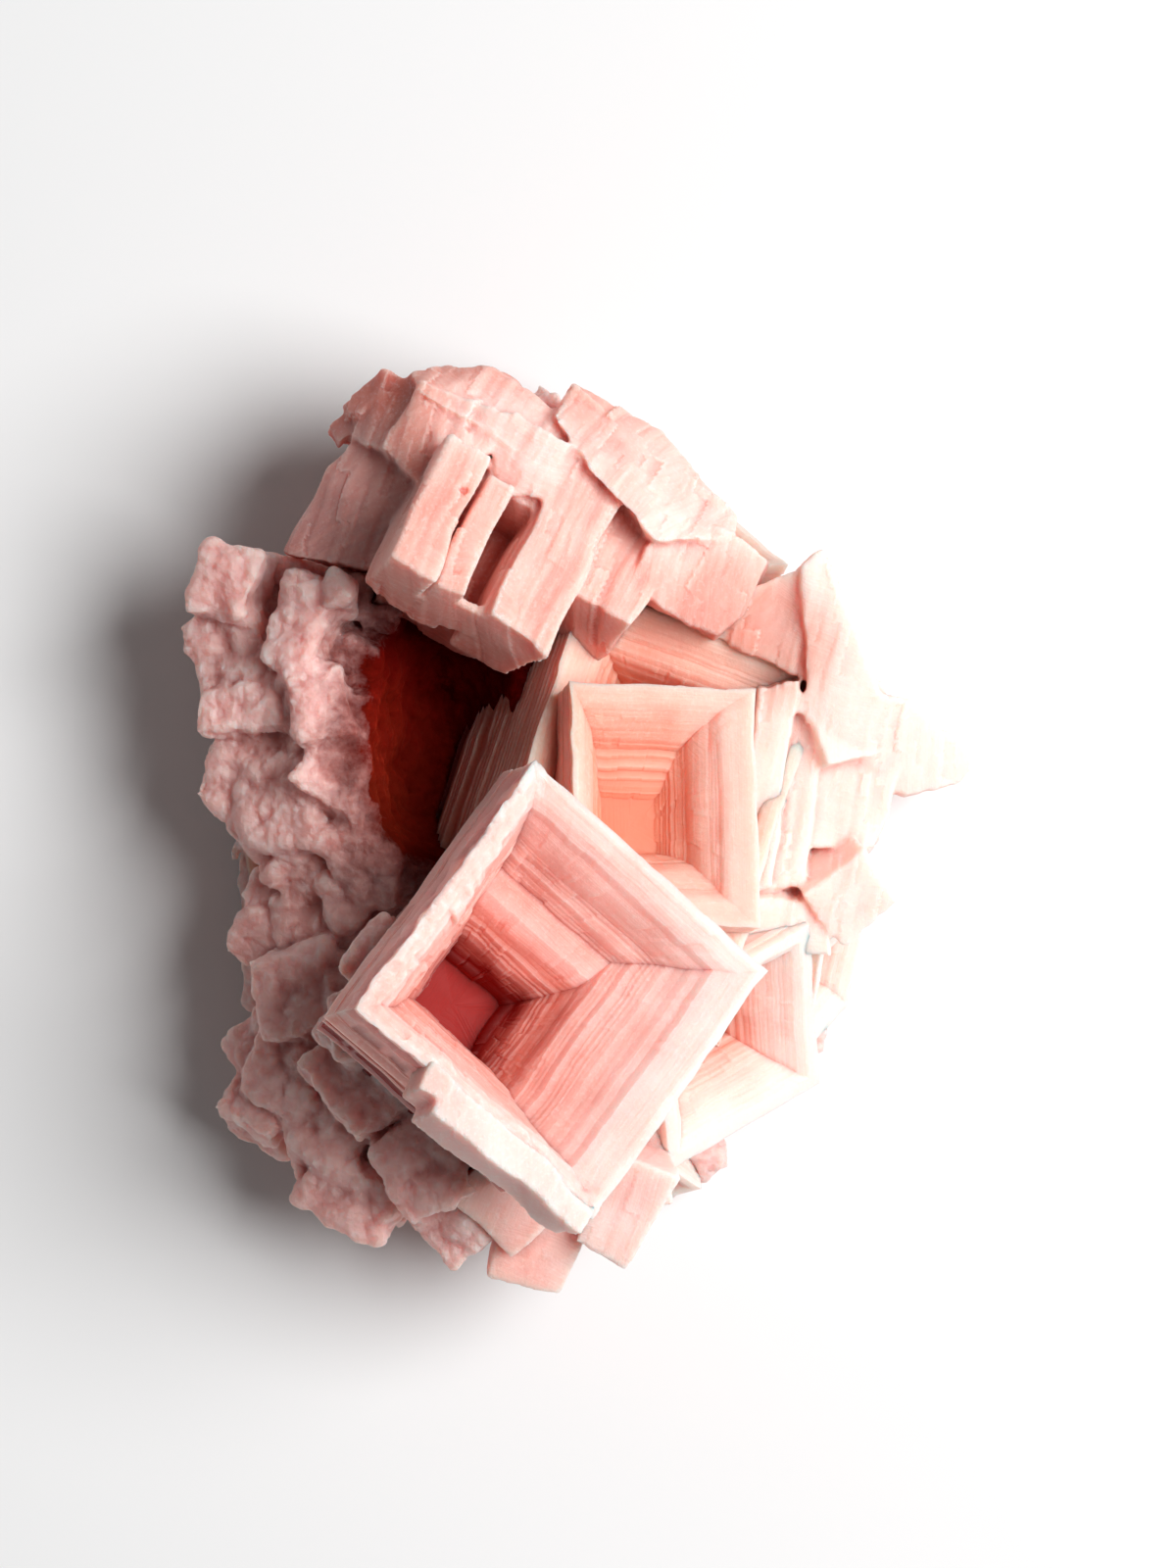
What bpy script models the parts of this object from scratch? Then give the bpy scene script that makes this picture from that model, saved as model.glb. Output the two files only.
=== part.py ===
"""A pink halite cluster: hopper cubes of salt grown together on a crust of smaller cubes.

The whole cluster grew as one piece, so it is one closed solid. It rests on the flat patch where it
was broken off, z = 0. X runs to the right and Y up the page as the cluster is seen from above.
Sizes in the calls below are millimetres, and MM turns them into Blender's metres.
"""

import math
import random

import bmesh
import bpy
from mathutils import Matrix, Vector, noise
from mathutils.bvhtree import BVHTree

MM = 0.001

# Driving dimensions, in millimetres
FRONT_EDGE = 32.8        # the biggest hopper cube, at the front
MIDDLE_EDGES = (27.0, 32.0)
INNER_EDGES = (19.6, 25.0)
LOWER_EDGE = 21.0
FRONT_PLACE = (-2.1, -16.4, 46.0)
FRONT_POSE = (-39.2, 27.7, 19.8)     # turn, lean and the compass angle of the lean, in degrees
UPPER_PLACE = (-8.6, 31.0, 39.5)
UPPER_POSE = (-27.0, 20.0, 45.0)
HOLLOW_CENTRE = (-14.5, 9.5, 33.0)   # the deep hollow between the crust and the hoppers
HOLLOW_RADII = (8.5, 15.5, 25.0)
CRUST_SEED = 11
GRAINS = 46              # small cubes strewn over the left crust
FLANK_SEED = 5
FLANK_CUBES = 76         # cubes round the flanks, between these two heights
FLANK_LOW = 3.0
FLANK_HIGH = 21.0
FLANK_STRIDE = 29        # steps round from one cube to the next, with no factor in common with the count
FLANK_SUNK = 0.25        # how deep a flank cube sits in the crust, as a share of its edge
CLUSTER_AXIS = (-5.0, -3.0)  # the flank cubes look outwards from this upright line
REACH = 80.0             # a distance well clear of the cluster
SQUARE = math.sqrt(2.0)  # corner radius over half an edge
PIT_CURVE = 1.35         # above 1, a pit is gentle at its rim and steep at its floor
LEDGES = 4               # steps down the outer side of each hopper
OVERCUT = 0.6            # how much deeper than its pit the room for a hopper is cut
SMALL_EDGE = 16.0        # hoppers up to this edge count as small
CLEAR_ABOVE = 18.0       # how far above the mouths of the big pits nothing else grows
CLEAR_SMALL = 2.5        # the same above the small ones


def pose(at, turn=0.0, lean=0.0, towards=0.0):
    """A crystal's place: turned in its own plane, then its face leans towards a compass angle."""
    compass = Matrix.Rotation(math.radians(towards), 4, "Z")
    leaning = compass @ Matrix.Rotation(math.radians(lean), 4, "Y") @ compass.inverted()
    turned = Matrix.Rotation(math.radians(turn), 4, "Z")
    return Matrix.Translation(Vector(at) * MM) @ leaning @ turned


def beside(place, offset, turn=0.0, lean=0.0, towards=0.0):
    """A place given in another crystal's own axes."""
    return place @ pose(offset, turn, lean, towards)


def new_object(name, mesh, place=None):
    made = bpy.data.objects.new(name, mesh)
    bpy.context.scene.collection.objects.link(made)
    if place is not None:
        mesh.transform(place)
    return made


def evaluated_mesh(made):
    """The object's mesh with its modifiers in it."""
    graph = bpy.context.evaluated_depsgraph_get()
    return bpy.data.meshes.new_from_object(made.evaluated_get(graph))


def hopper_profile(body, pit, rim, floor, foot, steps):
    """Half a section through a hopper: out over the terraces of its pit, then down its ledged side.

    Distances from the axis are shares of half an edge, and heights are metres from the face.
    """
    points = [(0.0, -pit), (floor, -pit)]
    for step in range(1, steps + 1):
        share = step / steps
        height = -pit * (1.0 - share) ** PIT_CURVE
        points.append((points[-1][0], height))
        points.append((floor + (1.0 - rim - floor) * share, height))
    points[-1] = (1.0, 0.0)
    for ledge in range(1, LEDGES):
        share = ledge / LEDGES
        height = -body * share
        points.append((points[-1][0], height))
        points.append((1.0 - (1.0 - foot) * share, height))
    points += [(points[-1][0], -body), (0.0, -body)]
    return points


def hopper(name, place, edges, body, pit, rim, floor, foot=0.75, steps=4):
    """A skeletal cube with a face sunk in square terraces: half its section, screwed round in four steps."""
    points = hopper_profile(body * MM, pit * MM, rim, floor, foot, steps)
    profile = bpy.data.meshes.new(name)
    links = [(i, i + 1) for i in range(len(points) - 1)]
    profile.from_pydata([(x, 0.0, z) for x, z in points], links, [])
    made = new_object(name, profile)
    screw = made.modifiers.new("square", "SCREW")
    screw.steps = screw.render_steps = 4
    screw.use_smooth_shade = False
    screw.use_merge_vertices = True
    screw.merge_threshold = 0.00001
    made.data = evaluated_mesh(made)
    made.modifiers.clear()
    half = [edge / 2 * SQUARE * MM for edge in edges]
    to_size = Matrix.Diagonal((half[0], half[1], 1.0, 1.0))
    made.data.transform(place @ to_size @ Matrix.Rotation(math.radians(45), 4, "Z"))
    return made


def pit_room(name, place, edges, pit, rim, floor, clear):
    """The open space of a hopper's pit and above it, which other crystals are cut out of."""
    body = bmesh.new()
    square_on = Matrix.Rotation(math.radians(45), 4, "Z")
    bmesh.ops.create_cone(body, segments=4, cap_ends=True, radius1=SQUARE * floor,
                          radius2=SQUARE * (1.0 - rim), depth=1.0, matrix=square_on)
    span = Vector((edges[0] / 2, edges[1] / 2, pit + OVERCUT)) * MM
    bmesh.ops.scale(body, vec=span, verts=body.verts)
    mouth = [face for face in body.faces if face.normal.z > 0.99]
    raised = bmesh.ops.extrude_face_region(body, geom=mouth)["geom"]
    bmesh.ops.delete(body, geom=mouth, context="FACES")
    top = [item for item in raised if isinstance(item, bmesh.types.BMVert)]
    bmesh.ops.translate(body, vec=Vector((0.0, 0.0, clear * MM)), verts=top)
    mesh = bpy.data.meshes.new(name)
    body.to_mesh(mesh)
    body.free()
    return new_object(name, mesh, beside(place, (0.0, 0.0, -(pit + OVERCUT) / 2)))


def block(name, place, size, wear=0.0, seed=0):
    """A plain cube or bar of salt, its corners moved a little by wear, a share of its size."""
    body = bmesh.new()
    bmesh.ops.create_cube(body, size=1.0)
    chance = random.Random(seed)
    for vertex in body.verts:
        vertex.co += Vector([chance.uniform(-wear, wear) for _ in range(3)])
    bmesh.ops.scale(body, vec=Vector(size) * MM, verts=body.verts)
    mesh = bpy.data.meshes.new(name)
    body.to_mesh(mesh)
    body.free()
    return new_object(name, mesh, place)


def lump(name, centre, radii, rough=0.0, seed=0, detail=3):
    """A rounded, uneven mass: a sphere pushed in and out by noise."""
    body = bmesh.new()
    bmesh.ops.create_icosphere(body, subdivisions=detail, radius=1.0)
    shift = Vector((seed * 3.7, seed * 1.3, seed * 2.1))
    for vertex in body.verts:
        vertex.co *= 1.0 + rough * noise.noise(vertex.co * 2.3 + shift)
    bmesh.ops.scale(body, vec=Vector(radii) * MM, verts=body.verts)
    mesh = bpy.data.meshes.new(name)
    body.to_mesh(mesh)
    body.free()
    return new_object(name, mesh, Matrix.Translation(Vector(centre) * MM))


def combine(target, operation, pieces):
    """Joins pieces to the target, or cuts them from it, and removes them."""
    group = bpy.data.collections.new("operands")
    for piece in pieces:
        group.objects.link(piece)
    step = target.modifiers.new(operation.lower(), "BOOLEAN")
    step.operation = operation
    step.operand_type = "COLLECTION"
    step.collection = group
    step.solver = "MANIFOLD"  # the exact solver leaves edges shared by three faces here
    target.data = evaluated_mesh(target)
    target.modifiers.clear()
    for piece in pieces:
        bpy.data.objects.remove(piece)
    bpy.data.collections.remove(group)


def fill_sealed_gaps(target):
    """Keeps the outer surface alone, so that gaps closed in between crystals become solid salt."""
    body = bmesh.new()
    body.from_mesh(target.data)
    unseen = set(body.faces)
    surfaces = []
    while unseen:
        surface = [unseen.pop()]
        for face in surface:
            beyond = {other for edge in face.edges for other in edge.link_faces} & unseen
            unseen -= beyond
            surface.extend(beyond)
        surfaces.append(surface)
    surfaces.sort(key=len)
    inner = [face for surface in surfaces[:-1] for face in surface]
    bmesh.ops.delete(body, geom=inner, context="FACES")
    body.to_mesh(target.data)
    body.free()


def crust_core():
    """The uneven mass under everything, which the crystals grew out of."""
    core = lump("halite_cluster", (-5.0, -3.0, 4.0), (27.5, 36.0, 19.0), rough=0.12, seed=1)
    shoulders = [
        lump("left_shoulder", (-23.5, 10.0, 10.0), (12.0, 18.0, 14.0), rough=0.2, seed=2),
        lump("lower_shoulder", (-17.0, -24.0, 9.0), (12.5, 15.0, 15.0), rough=0.2, seed=3),
        lump("upper_shoulder", (-9.0, 28.5, 13.0), (16.5, 12.5, 20.0), rough=0.15, seed=4),
        lump("right_shoulder", (12.0, 2.0, 10.0), (14.0, 21.0, 14.0), rough=0.15, seed=5),
    ]
    combine(core, "UNION", shoulders)
    return core


def left_crust():
    """The crust of stubby cubes and bars that fills the left side, placed one by one."""
    stubs = (
        # middle x, y, z; size; turn, lean, towards
        ((-36.9, 24.6, 21.0), (6.6, 7.6, 9.0), (-12, 12, 160)),
        ((-34.6, 17.5, 18.0), (8.5, 9.0, 12.0), (20, 25, 175)),
        ((-33.8, 12.0, 22.0), (10.8, 5.0, 9.0), (4, 18, 185)),
        ((-29.0, 20.0, 24.5), (5.6, 9.5, 9.5), (-18, 14, 150)),
        ((-25.0, 25.0, 27.0), (2.8, 6.4, 8.0), (-8, 10, 120)),
        ((-33.2, 4.8, 17.0), (10.5, 9.5, 12.0), (-30, 22, 190)),
        ((-30.5, -0.2, 16.0), (8.0, 7.5, 12.0), (38, 20, 200)),
        ((-25.6, 5.4, 23.0), (9.0, 9.5, 11.0), (-35, 15, 10)),
        ((-28.2, 12.3, 26.0), (7.0, 7.5, 8.5), (12, 16, 20)),
        ((-22.8, -2.6, 19.5), (8.0, 8.5, 11.0), (25, 18, 60)),
        ((-26.0, -8.8, 16.5), (8.5, 8.0, 11.0), (-15, 16, 190)),
        ((-28.4, -17.5, 19.0), (9.5, 9.5, 12.0), (14, 20, 175)),
        ((-29.4, -25.0, 15.0), (7.5, 8.5, 12.0), (-22, 24, 190)),
        ((-22.8, -26.6, 22.5), (8.5, 10.0, 11.5), (35, 12, 150)),
        ((-26.2, -31.6, 15.0), (8.0, 8.5, 12.0), (8, 26, 210)),
        ((-23.8, -37.6, 16.5), (10.5, 8.0, 11.0), (-22, 26, 235)),
        ((-16.2, -34.8, 22.5), (8.0, 9.5, 12.0), (30, 14, 230)),
        ((-13.0, -39.6, 19.0), (7.2, 8.0, 12.0), (44, 22, 250)),
        ((-19.8, -14.6, 33.0), (5.0, 7.5, 14.0), (-38, 16, 140)),
        ((-22.0, -20.5, 27.5), (6.5, 7.0, 12.0), (10, 10, 160)),
    )
    return [
        block(f"stub_{i}", pose(at, turn, lean, towards), size, wear=0.07, seed=i)
        for i, (at, size, (turn, lean, towards)) in enumerate(stubs)
    ]


def crust_grains():
    """Seeded small cubes strewn over the crust on the left, where no single crystal stands out."""
    chance = random.Random(CRUST_SEED)
    grains = []
    for i in range(GRAINS):
        along = (i + chance.uniform(0.0, 1.0)) / GRAINS
        x = chance.uniform(-34.5, -19.0)
        y = -34.0 + 60.0 * along
        rise = 25.0 - 0.75 * abs(x + 22.0) - 0.12 * abs(y)
        edge = chance.uniform(3.6, 6.4)
        size = (edge, edge * chance.uniform(0.7, 1.3), edge * 1.3)
        place = pose((x, y, rise), chance.uniform(0, 90), chance.uniform(5, 40), chance.uniform(90, 270))
        grains.append(block(f"grain_{i}", place, size, wear=0.09, seed=200 + i))
    return grains


def lower_cubes():
    """The cubes that show below the front hopper."""
    return [
        block("lower_cube_left", pose((-4.8, -41.8, 18.0), -16, 22, 265), (8.2, 8.6, 13.0), 0.03, 21),
        block("lower_cube_shelf", pose((-6.6, -37.0, 22.5), 40, 14, 250), (11.0, 9.0, 12.0), 0.03, 22),
        block("lower_cube_right", pose((3.8, -38.0, 22.0), -28, 16, 280), (5.8, 11.5, 14.0), 0.03, 23),
        block("lower_cube_deep", pose((1.5, -33.0, 15.0), 12, 20, 275), (13.0, 12.0, 14.0), 0.04, 24),
    ]


def flank_cubes(crust):
    """Seeded cubes all round the flanks, each where a level line from outside first meets the crust."""
    chance = random.Random(FLANK_SEED)
    surface = BVHTree.FromObject(crust, bpy.context.evaluated_depsgraph_get())
    cubes = []
    for i in range(FLANK_CUBES):
        around = 2 * math.pi * (i * FLANK_STRIDE + chance.uniform(-0.35, 0.35)) / FLANK_CUBES
        height = FLANK_LOW + (FLANK_HIGH - FLANK_LOW) * i / FLANK_CUBES + chance.uniform(-1.0, 1.0)
        outwards = Vector((math.cos(around), math.sin(around), 0.0))
        axis = Vector((*CLUSTER_AXIS, height)) * MM
        met = surface.ray_cast(axis + outwards * REACH * MM, -outwards)[0]
        edge = chance.uniform(5.5, 10.0)
        size = (edge, edge * chance.uniform(0.75, 1.3), edge * chance.uniform(0.9, 1.4))
        at = (met - outwards * FLANK_SUNK * edge * MM) / MM
        place = pose(at, chance.uniform(0, 90), chance.uniform(15, 75), math.degrees(around))
        cubes.append(block(f"flank_{i}", place, size, wear=0.05, seed=100 + i))
    return cubes


def upper_crystals():
    """The upper crystal and what grows round it, bars and blocks from left to right."""
    upper = pose(UPPER_PLACE, *UPPER_POSE)
    return [
        block("upper_plate", pose((-22.8, 30.6, 31.0), -32, 18, 130), (10.5, 10.0, 12.0), 0.04, 31),
        block("upper_dark_block", pose((-19.6, 41.0, 26.5), 64, 16, 130), (10.5, 7.0, 12.0), 0.05, 32),
        block("upper_light_block", pose((-14.9, 38.8, 31.5), 62, 12, 90), (10.5, 8.5, 11.0), 0.04, 33),
        lump("upper_crown", (-9.8, 40.4, 26.0), (10.0, 6.6, 9.0), 0.12, 6, detail=2),
        block("upper_saddle", pose((-4.0, 38.5, 26.0), 20, 20, 60), (11.0, 9.5, 13.0), 0.05, 35),
        block("upper_body", beside(upper, (0.4, 0.6, -4.2)), (18.2, 21.6, 6.4)),
        block("upper_foot", beside(upper, (1.0, 2.0, -12.0)), (15.0, 17.0, 18.0)),
        block("upper_wide_bar", beside(upper, (-6.3, -3.3, -3.0)), (5.2, 14.5, 13.0), 0.02, 36),
        block("upper_thin_bar", beside(upper, (-1.6, -3.6, -4.0)), (3.2, 13.5, 11.0), 0.02, 37),
        block("upper_wall", beside(upper, (6.0, 1.4, -6.0), 0.0, 6.0, 0.0), (7.0, 23.5, 13.0)),
        block("far_block", pose((-0.8, 29.6, 23.5), -38, 22, 48), (20.0, 18.0, 20.0), 0.02, 38),
    ]


def upper_gaps():
    """The dark slot and the groove between the upper crystal's bars and its wall."""
    upper = pose(UPPER_PLACE, *UPPER_POSE)
    return [
        block("slot", beside(upper, (1.35, -3.2, 0.0)), (2.7, 12.0, 22.0)),
        block("groove", beside(upper, (-3.45, -3.6, 0.0)), (0.7, 16.0, 6.0)),
    ]


def right_wing():
    """The plain crystals of the right side: a wedge that points outwards, plates and small cubes."""
    return [
        block("wing_wedge", pose((33.6, 8.2, 19.0), 45, 50, -90), (11.5, 11.5, 7.0), 0.02, 41),
        block("wing_spur", pose((25.5, 9.4, 20.0), 20, 30, 20), (11.0, 7.5, 10.0), 0.05, 42),
        block("wing_plate", pose((28.0, 2.2, 16.0), -11, 18, 0), (7.6, 13.0, 14.0), 0.03, 43),
        block("wing_back_plate", pose((24.4, 2.6, 18.0), -11, 20, 10), (4.0, 14.0, 14.0), 0.03, 44),
        block("small_cube", pose((28.0, -7.9, 21.6), 40, 24, -30), (7.6, 7.2, 7.6), 0.05, 45),
        block("small_slab", pose((21.1, -10.4, 19.0), -8, 20, -50), (10.0, 5.6, 8.0), 0.05, 46),
    ]


def hoppers():
    """The hopper cubes, each with its place, in the order in which they grew over each other."""
    return [
        (pose((7.6, 5.4, 29.0), -19.0, 20.0, 50.0),
         dict(name="middle_hopper", edges=MIDDLE_EDGES, body=20.0, pit=11.0, rim=0.08, floor=0.3,
              foot=0.8, steps=7)),
        (pose((15.9, -23.4, 23.0), 17.0, 49.0, -33.0),
         dict(name="lower_hopper", edges=(LOWER_EDGE, LOWER_EDGE), body=17.0, pit=8.0, rim=0.14,
              floor=0.3, steps=6)),
        (pose((12.8, 26.4, 31.0), -18.0, 22.0, -60.0),
         dict(name="notch_hopper", edges=(11.5, 9.5), body=12.0, pit=4.5, rim=0.12, floor=0.2)),
        (pose((24.0, 17.6, 26.0), 24.0, 20.0, 20.0),
         dict(name="wing_hopper", edges=(11.0, 16.5), body=14.0, pit=8.0, rim=0.3, floor=0.2)),
        (pose((26.5, -16.5, 10.5), 10.0, 72.0, -22.0),
         dict(name="right_foot_hopper", edges=(13.0, 14.0), body=12.0, pit=5.0, rim=0.14, floor=0.2)),
        (pose((29.5, 9.5, 8.5), -8.0, 78.0, 14.0),
         dict(name="right_low_hopper", edges=(11.0, 12.0), body=12.0, pit=4.5, rim=0.14, floor=0.2)),
        (pose((11.5, 31.5, 13.0), 22.0, 66.0, 66.0),
         dict(name="back_hopper", edges=(15.0, 15.0), body=13.0, pit=6.0, rim=0.12, floor=0.2,
              steps=5)),
        (pose((-19.0, 36.5, 12.5), 30.0, 62.0, 122.0),
         dict(name="back_left_hopper", edges=(12.0, 13.0), body=12.0, pit=5.0, rim=0.14, floor=0.2)),
        (pose((-33.5, -8.0, 10.0), 12.0, 66.0, 184.0),
         dict(name="left_hopper", edges=(12.0, 12.0), body=12.0, pit=4.5, rim=0.14, floor=0.2)),
        (pose((3.5, -38.5, 10.0), 25.0, 64.0, -86.0),
         dict(name="near_hopper", edges=(14.0, 13.0), body=13.0, pit=5.5, rim=0.12, floor=0.2,
              steps=5)),
        (pose((8.1, 2.0, 35.0), -0.5, 18.0, 38.0),
         dict(name="inner_hopper", edges=INNER_EDGES, body=15.0, pit=9.0, rim=0.08, floor=0.3,
              steps=7)),
        (pose(FRONT_PLACE, *FRONT_POSE),
         dict(name="front_hopper", edges=(FRONT_EDGE, FRONT_EDGE), body=27.0, pit=21.0, rim=0.05,
              floor=0.18, foot=0.6, steps=9)),
    ]


def grow_cluster():
    """The whole cluster as one closed solid, cut flat where it rests."""
    cluster = crust_core()
    combine(cluster, "UNION", left_crust() + crust_grains() + lower_cubes() + flank_cubes(cluster))
    combine(cluster, "DIFFERENCE", [lump("hollow", HOLLOW_CENTRE, HOLLOW_RADII, 0.12, 9)])
    combine(cluster, "UNION", upper_crystals() + right_wing())
    combine(cluster, "DIFFERENCE", upper_gaps())
    for place, sizes in hoppers():
        pit_sizes = [sizes[key] for key in ("edges", "pit", "rim", "floor")]
        clear = CLEAR_ABOVE if min(sizes["edges"]) > SMALL_EDGE else CLEAR_SMALL
        combine(cluster, "DIFFERENCE", [pit_room(sizes["name"] + "_room", place, *pit_sizes, clear)])
        combine(cluster, "UNION", [hopper(place=place, **sizes)])
    front = pose(FRONT_PLACE, *FRONT_POSE)
    ledge = block("front_ledge", beside(front, (5.4, -16.2, -6.8), 5.0), (20.5, 5.6, 12.0))
    combine(cluster, "UNION", [ledge])
    below = block("below_rest_face", pose((0.0, 0.0, -REACH)), (2 * REACH,) * 3)
    combine(cluster, "DIFFERENCE", [below])
    fill_sealed_gaps(cluster)
    return cluster


def pink_halite():
    """Cloudy rose-pink rock salt."""
    material = bpy.data.materials.new("pink_halite")
    material.use_nodes = True
    shader = material.node_tree.nodes["Principled BSDF"]
    shader.inputs["Base Color"].default_value = (0.86, 0.46, 0.40, 1.0)
    shader.inputs["Roughness"].default_value = 0.42
    shader.inputs["IOR"].default_value = 1.54
    return material


for old in list(bpy.data.objects):
    bpy.data.objects.remove(old)
specimen = bpy.data.collections.new("halite_cluster")
bpy.context.scene.collection.children.link(specimen)
salt = grow_cluster()
bpy.context.scene.collection.objects.unlink(salt)
specimen.objects.link(salt)
salt.data.materials.clear()
salt.data.materials.append(pink_halite())
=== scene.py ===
"""A pink halite cluster seen from straight above: hopper cubes on a sugary crust."""
import math
import random

import bmesh
import bpy
import numpy as np
from mathutils import Matrix, Vector


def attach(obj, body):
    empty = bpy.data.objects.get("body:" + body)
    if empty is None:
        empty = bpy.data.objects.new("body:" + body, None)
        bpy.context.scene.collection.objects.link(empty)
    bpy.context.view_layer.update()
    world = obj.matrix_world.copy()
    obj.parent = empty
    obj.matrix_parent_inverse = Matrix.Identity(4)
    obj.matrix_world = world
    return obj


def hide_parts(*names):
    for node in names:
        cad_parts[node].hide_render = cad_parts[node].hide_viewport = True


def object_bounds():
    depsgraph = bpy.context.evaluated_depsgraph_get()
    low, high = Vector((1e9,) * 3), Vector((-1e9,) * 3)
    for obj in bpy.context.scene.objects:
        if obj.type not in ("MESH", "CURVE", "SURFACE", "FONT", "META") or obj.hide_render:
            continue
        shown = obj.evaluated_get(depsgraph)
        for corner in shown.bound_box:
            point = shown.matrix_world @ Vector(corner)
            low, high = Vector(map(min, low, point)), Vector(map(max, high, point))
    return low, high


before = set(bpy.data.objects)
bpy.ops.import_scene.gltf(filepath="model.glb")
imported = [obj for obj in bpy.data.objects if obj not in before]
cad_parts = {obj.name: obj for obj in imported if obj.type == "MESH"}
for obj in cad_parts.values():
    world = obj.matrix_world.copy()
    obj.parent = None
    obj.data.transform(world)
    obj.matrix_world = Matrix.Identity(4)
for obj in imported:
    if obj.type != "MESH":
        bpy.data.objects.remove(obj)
cad_box = [list(corner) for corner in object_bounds()]

# The table, the light and the viewpoint
# The specimen lies on a plain pale sheet, seen from straight above through a long lens. One big
# soft light stands to the right, and the room fills the rest.
MM = 0.001
CAMERA_PLACE = (0.0002, 0.0041, 0.635)
LENS = 135.0
SHEET_SIZE = 3.0
SHEET_COLOUR = "#E9E9E9"
KEY_TOWARDS = (0.56, 0.09, 0.83)
KEY_DISTANCE = 0.9
KEY_SIZE = 0.6
KEY_POWER = 11.2
ROOM_STRENGTH = 0.13


def linear(colour):
    """An sRGB hex colour as linear red, green, blue and a full alpha."""
    share = np.array([int(colour[i:i + 2], 16) for i in (1, 3, 5)]) / 255
    bent = np.where(share <= 0.04045, share / 12.92, ((share + 0.055) / 1.055) ** 2.4)
    return (*bent.tolist(), 1.0)


def add_node(tree, kind, settings=None, links=None):
    """Adds a node, sets its properties or sockets by name, and links other sockets into it."""
    made = tree.nodes.new(kind)
    for key, value in (settings or {}).items():
        if isinstance(key, str) and hasattr(made, key):
            setattr(made, key, value)
        else:
            made.inputs[key].default_value = value
    for key, source in (links or {}).items():
        tree.links.new(source, made.inputs[key])
    return made


scene = bpy.context.scene
scene.view_settings.view_transform = "Standard"
lens = bpy.data.cameras.new("camera")
lens.lens = LENS
lens.clip_start = 0.01
camera = bpy.data.objects.new("camera", lens)
camera.location = CAMERA_PLACE
scene.collection.objects.link(camera)
scene.camera = camera

towards = Vector(KEY_TOWARDS).normalized()
lamp = bpy.data.lights.new("key", "AREA")
lamp.shape = "DISK"
lamp.size = KEY_SIZE
lamp.energy = KEY_POWER
key = bpy.data.objects.new("key", lamp)
key.location = towards * KEY_DISTANCE
key.rotation_mode = "QUATERNION"
key.rotation_quaternion = towards.to_track_quat("Z", "Y")
scene.collection.objects.link(key)

room = bpy.data.worlds.new("room")
scene.world = room
room.use_nodes = True
room.node_tree.nodes["Background"].inputs["Color"].default_value = linear("#FFFFFF")
room.node_tree.nodes["Background"].inputs["Strength"].default_value = ROOM_STRENGTH

# Matt white paper: plain and a little grey, with no shine
paper = bpy.data.materials.new("matt_white_paper")
paper.use_nodes = True
paper_shader = paper.node_tree.nodes["Principled BSDF"]
paper_shader.inputs["Base Color"].default_value = linear(SHEET_COLOUR)
paper_shader.inputs["Roughness"].default_value = 0.9
sheet_mesh = bpy.data.meshes.new("paper_sheet")
side = SHEET_SIZE / 2
sheet_mesh.from_pydata([(-side, -side, 0), (side, -side, 0), (side, side, 0), (-side, side, 0)], [],
                       [(0, 1, 2, 3)])
sheet_mesh.materials.append(paper)
sheet = bpy.data.objects.new("paper_sheet", sheet_mesh)
scene.collection.objects.link(sheet)

# The front hopper
# The biggest cube: rock salt that grew faster at its edges than on its faces, so that the face is
# a square pit of stepped layers, pale at the rim and painted red at the floor as painted shade. One
# side of its rim is worn.
FRONT_EDGE = 32.8
FRONT_PLACE = (-2.1, -16.4, 46.0)
FRONT_POSE = (-39.2, 27.7, 19.8)
PIT_CURVE = 1.35          # above 1, a pit is gentle at its rim and steep at its floor
LEDGES = 4                # the coarse steps down a hopper's outer side
FINE_LAYER = (0.25, 0.55)  # most growth layers, mm
THICK_LAYER = (2.0, 4.0)  # a thick layer over a fine one
THICK_SHARE = 0.3
NOTCH_RATE = 0.07         # how often a layer's edge steps in or out
NOTCH_DEPTH = 0.10        # mm
NOTCH_MIX = (0.3, 0.55, 0.3)  # of the layer below, the layer itself and the layer above
NOTCH_FADE = 14.0         # notches fade out over this part of a side, from its corners
UNEVEN = 0.22             # mm, how far any surface wanders
WANDER = ((7.0, 1.0), (2.3, 0.45))  # over how many mm, and what share of it
DEPTH_BEND = 1.5          # above 1, a pit's painted shade stays pale for longer on the way down
SIDE_SHADE_DEPTH = 34.0         # mm down an outer side to its full painted shade
SIDE_SHADE_MOST = 0.36           # the most that an outer side is reddened by painted shade
BEND_ROUNDS = (3, 40)     # rounds of neighbours that edges and recesses are measured over
EDGE_HIGHLIGHT_FULL = 0.12          # mm from the mean place where an edge's painted highlight is palest
RECESS_SHADE_FULL = 0.7         # mm from the mean place where a recess's painted shade is reddest
SIDE_LIGHT_SHADE = (0.4, -0.1)   # painted shade and light: how much redder the far left is, away from the light, and how much paler the right
STRATA_DEPTH = 0.12       # mm, of the fine ledges on the outer side
WORN_FROM = 12.2          # mm from the middle of the face to where its left rims are worn
WORN_DOWN = 5.0           # mm below the face to where the wear ends
WORN_RIM = 0.2            # mm, how far the worn rims wander
WORN_OVER = (2.6, 1.0)    # mm, over what distances
WORN_WALLS = (0.0, 0.6, 4.0, 1.5)  # how much deeper the notches of each wall are at its rim
WORN_FROST = 0.14
PIT_SHADE_DEPTH = 22.3        # mm down the pit to its full painted shade
STEP_AT_RIM = 0.12        # how upright the risers are: 0 is a smooth slope, 1 a stair
STEP_AT_FLOOR = 0.3
STEP_SPREAD = (0.3, 1.7)  # how far one riser differs from the next
SHARED_LAYERS = 0.8       # how far the four walls of a pit have the same layers


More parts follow.
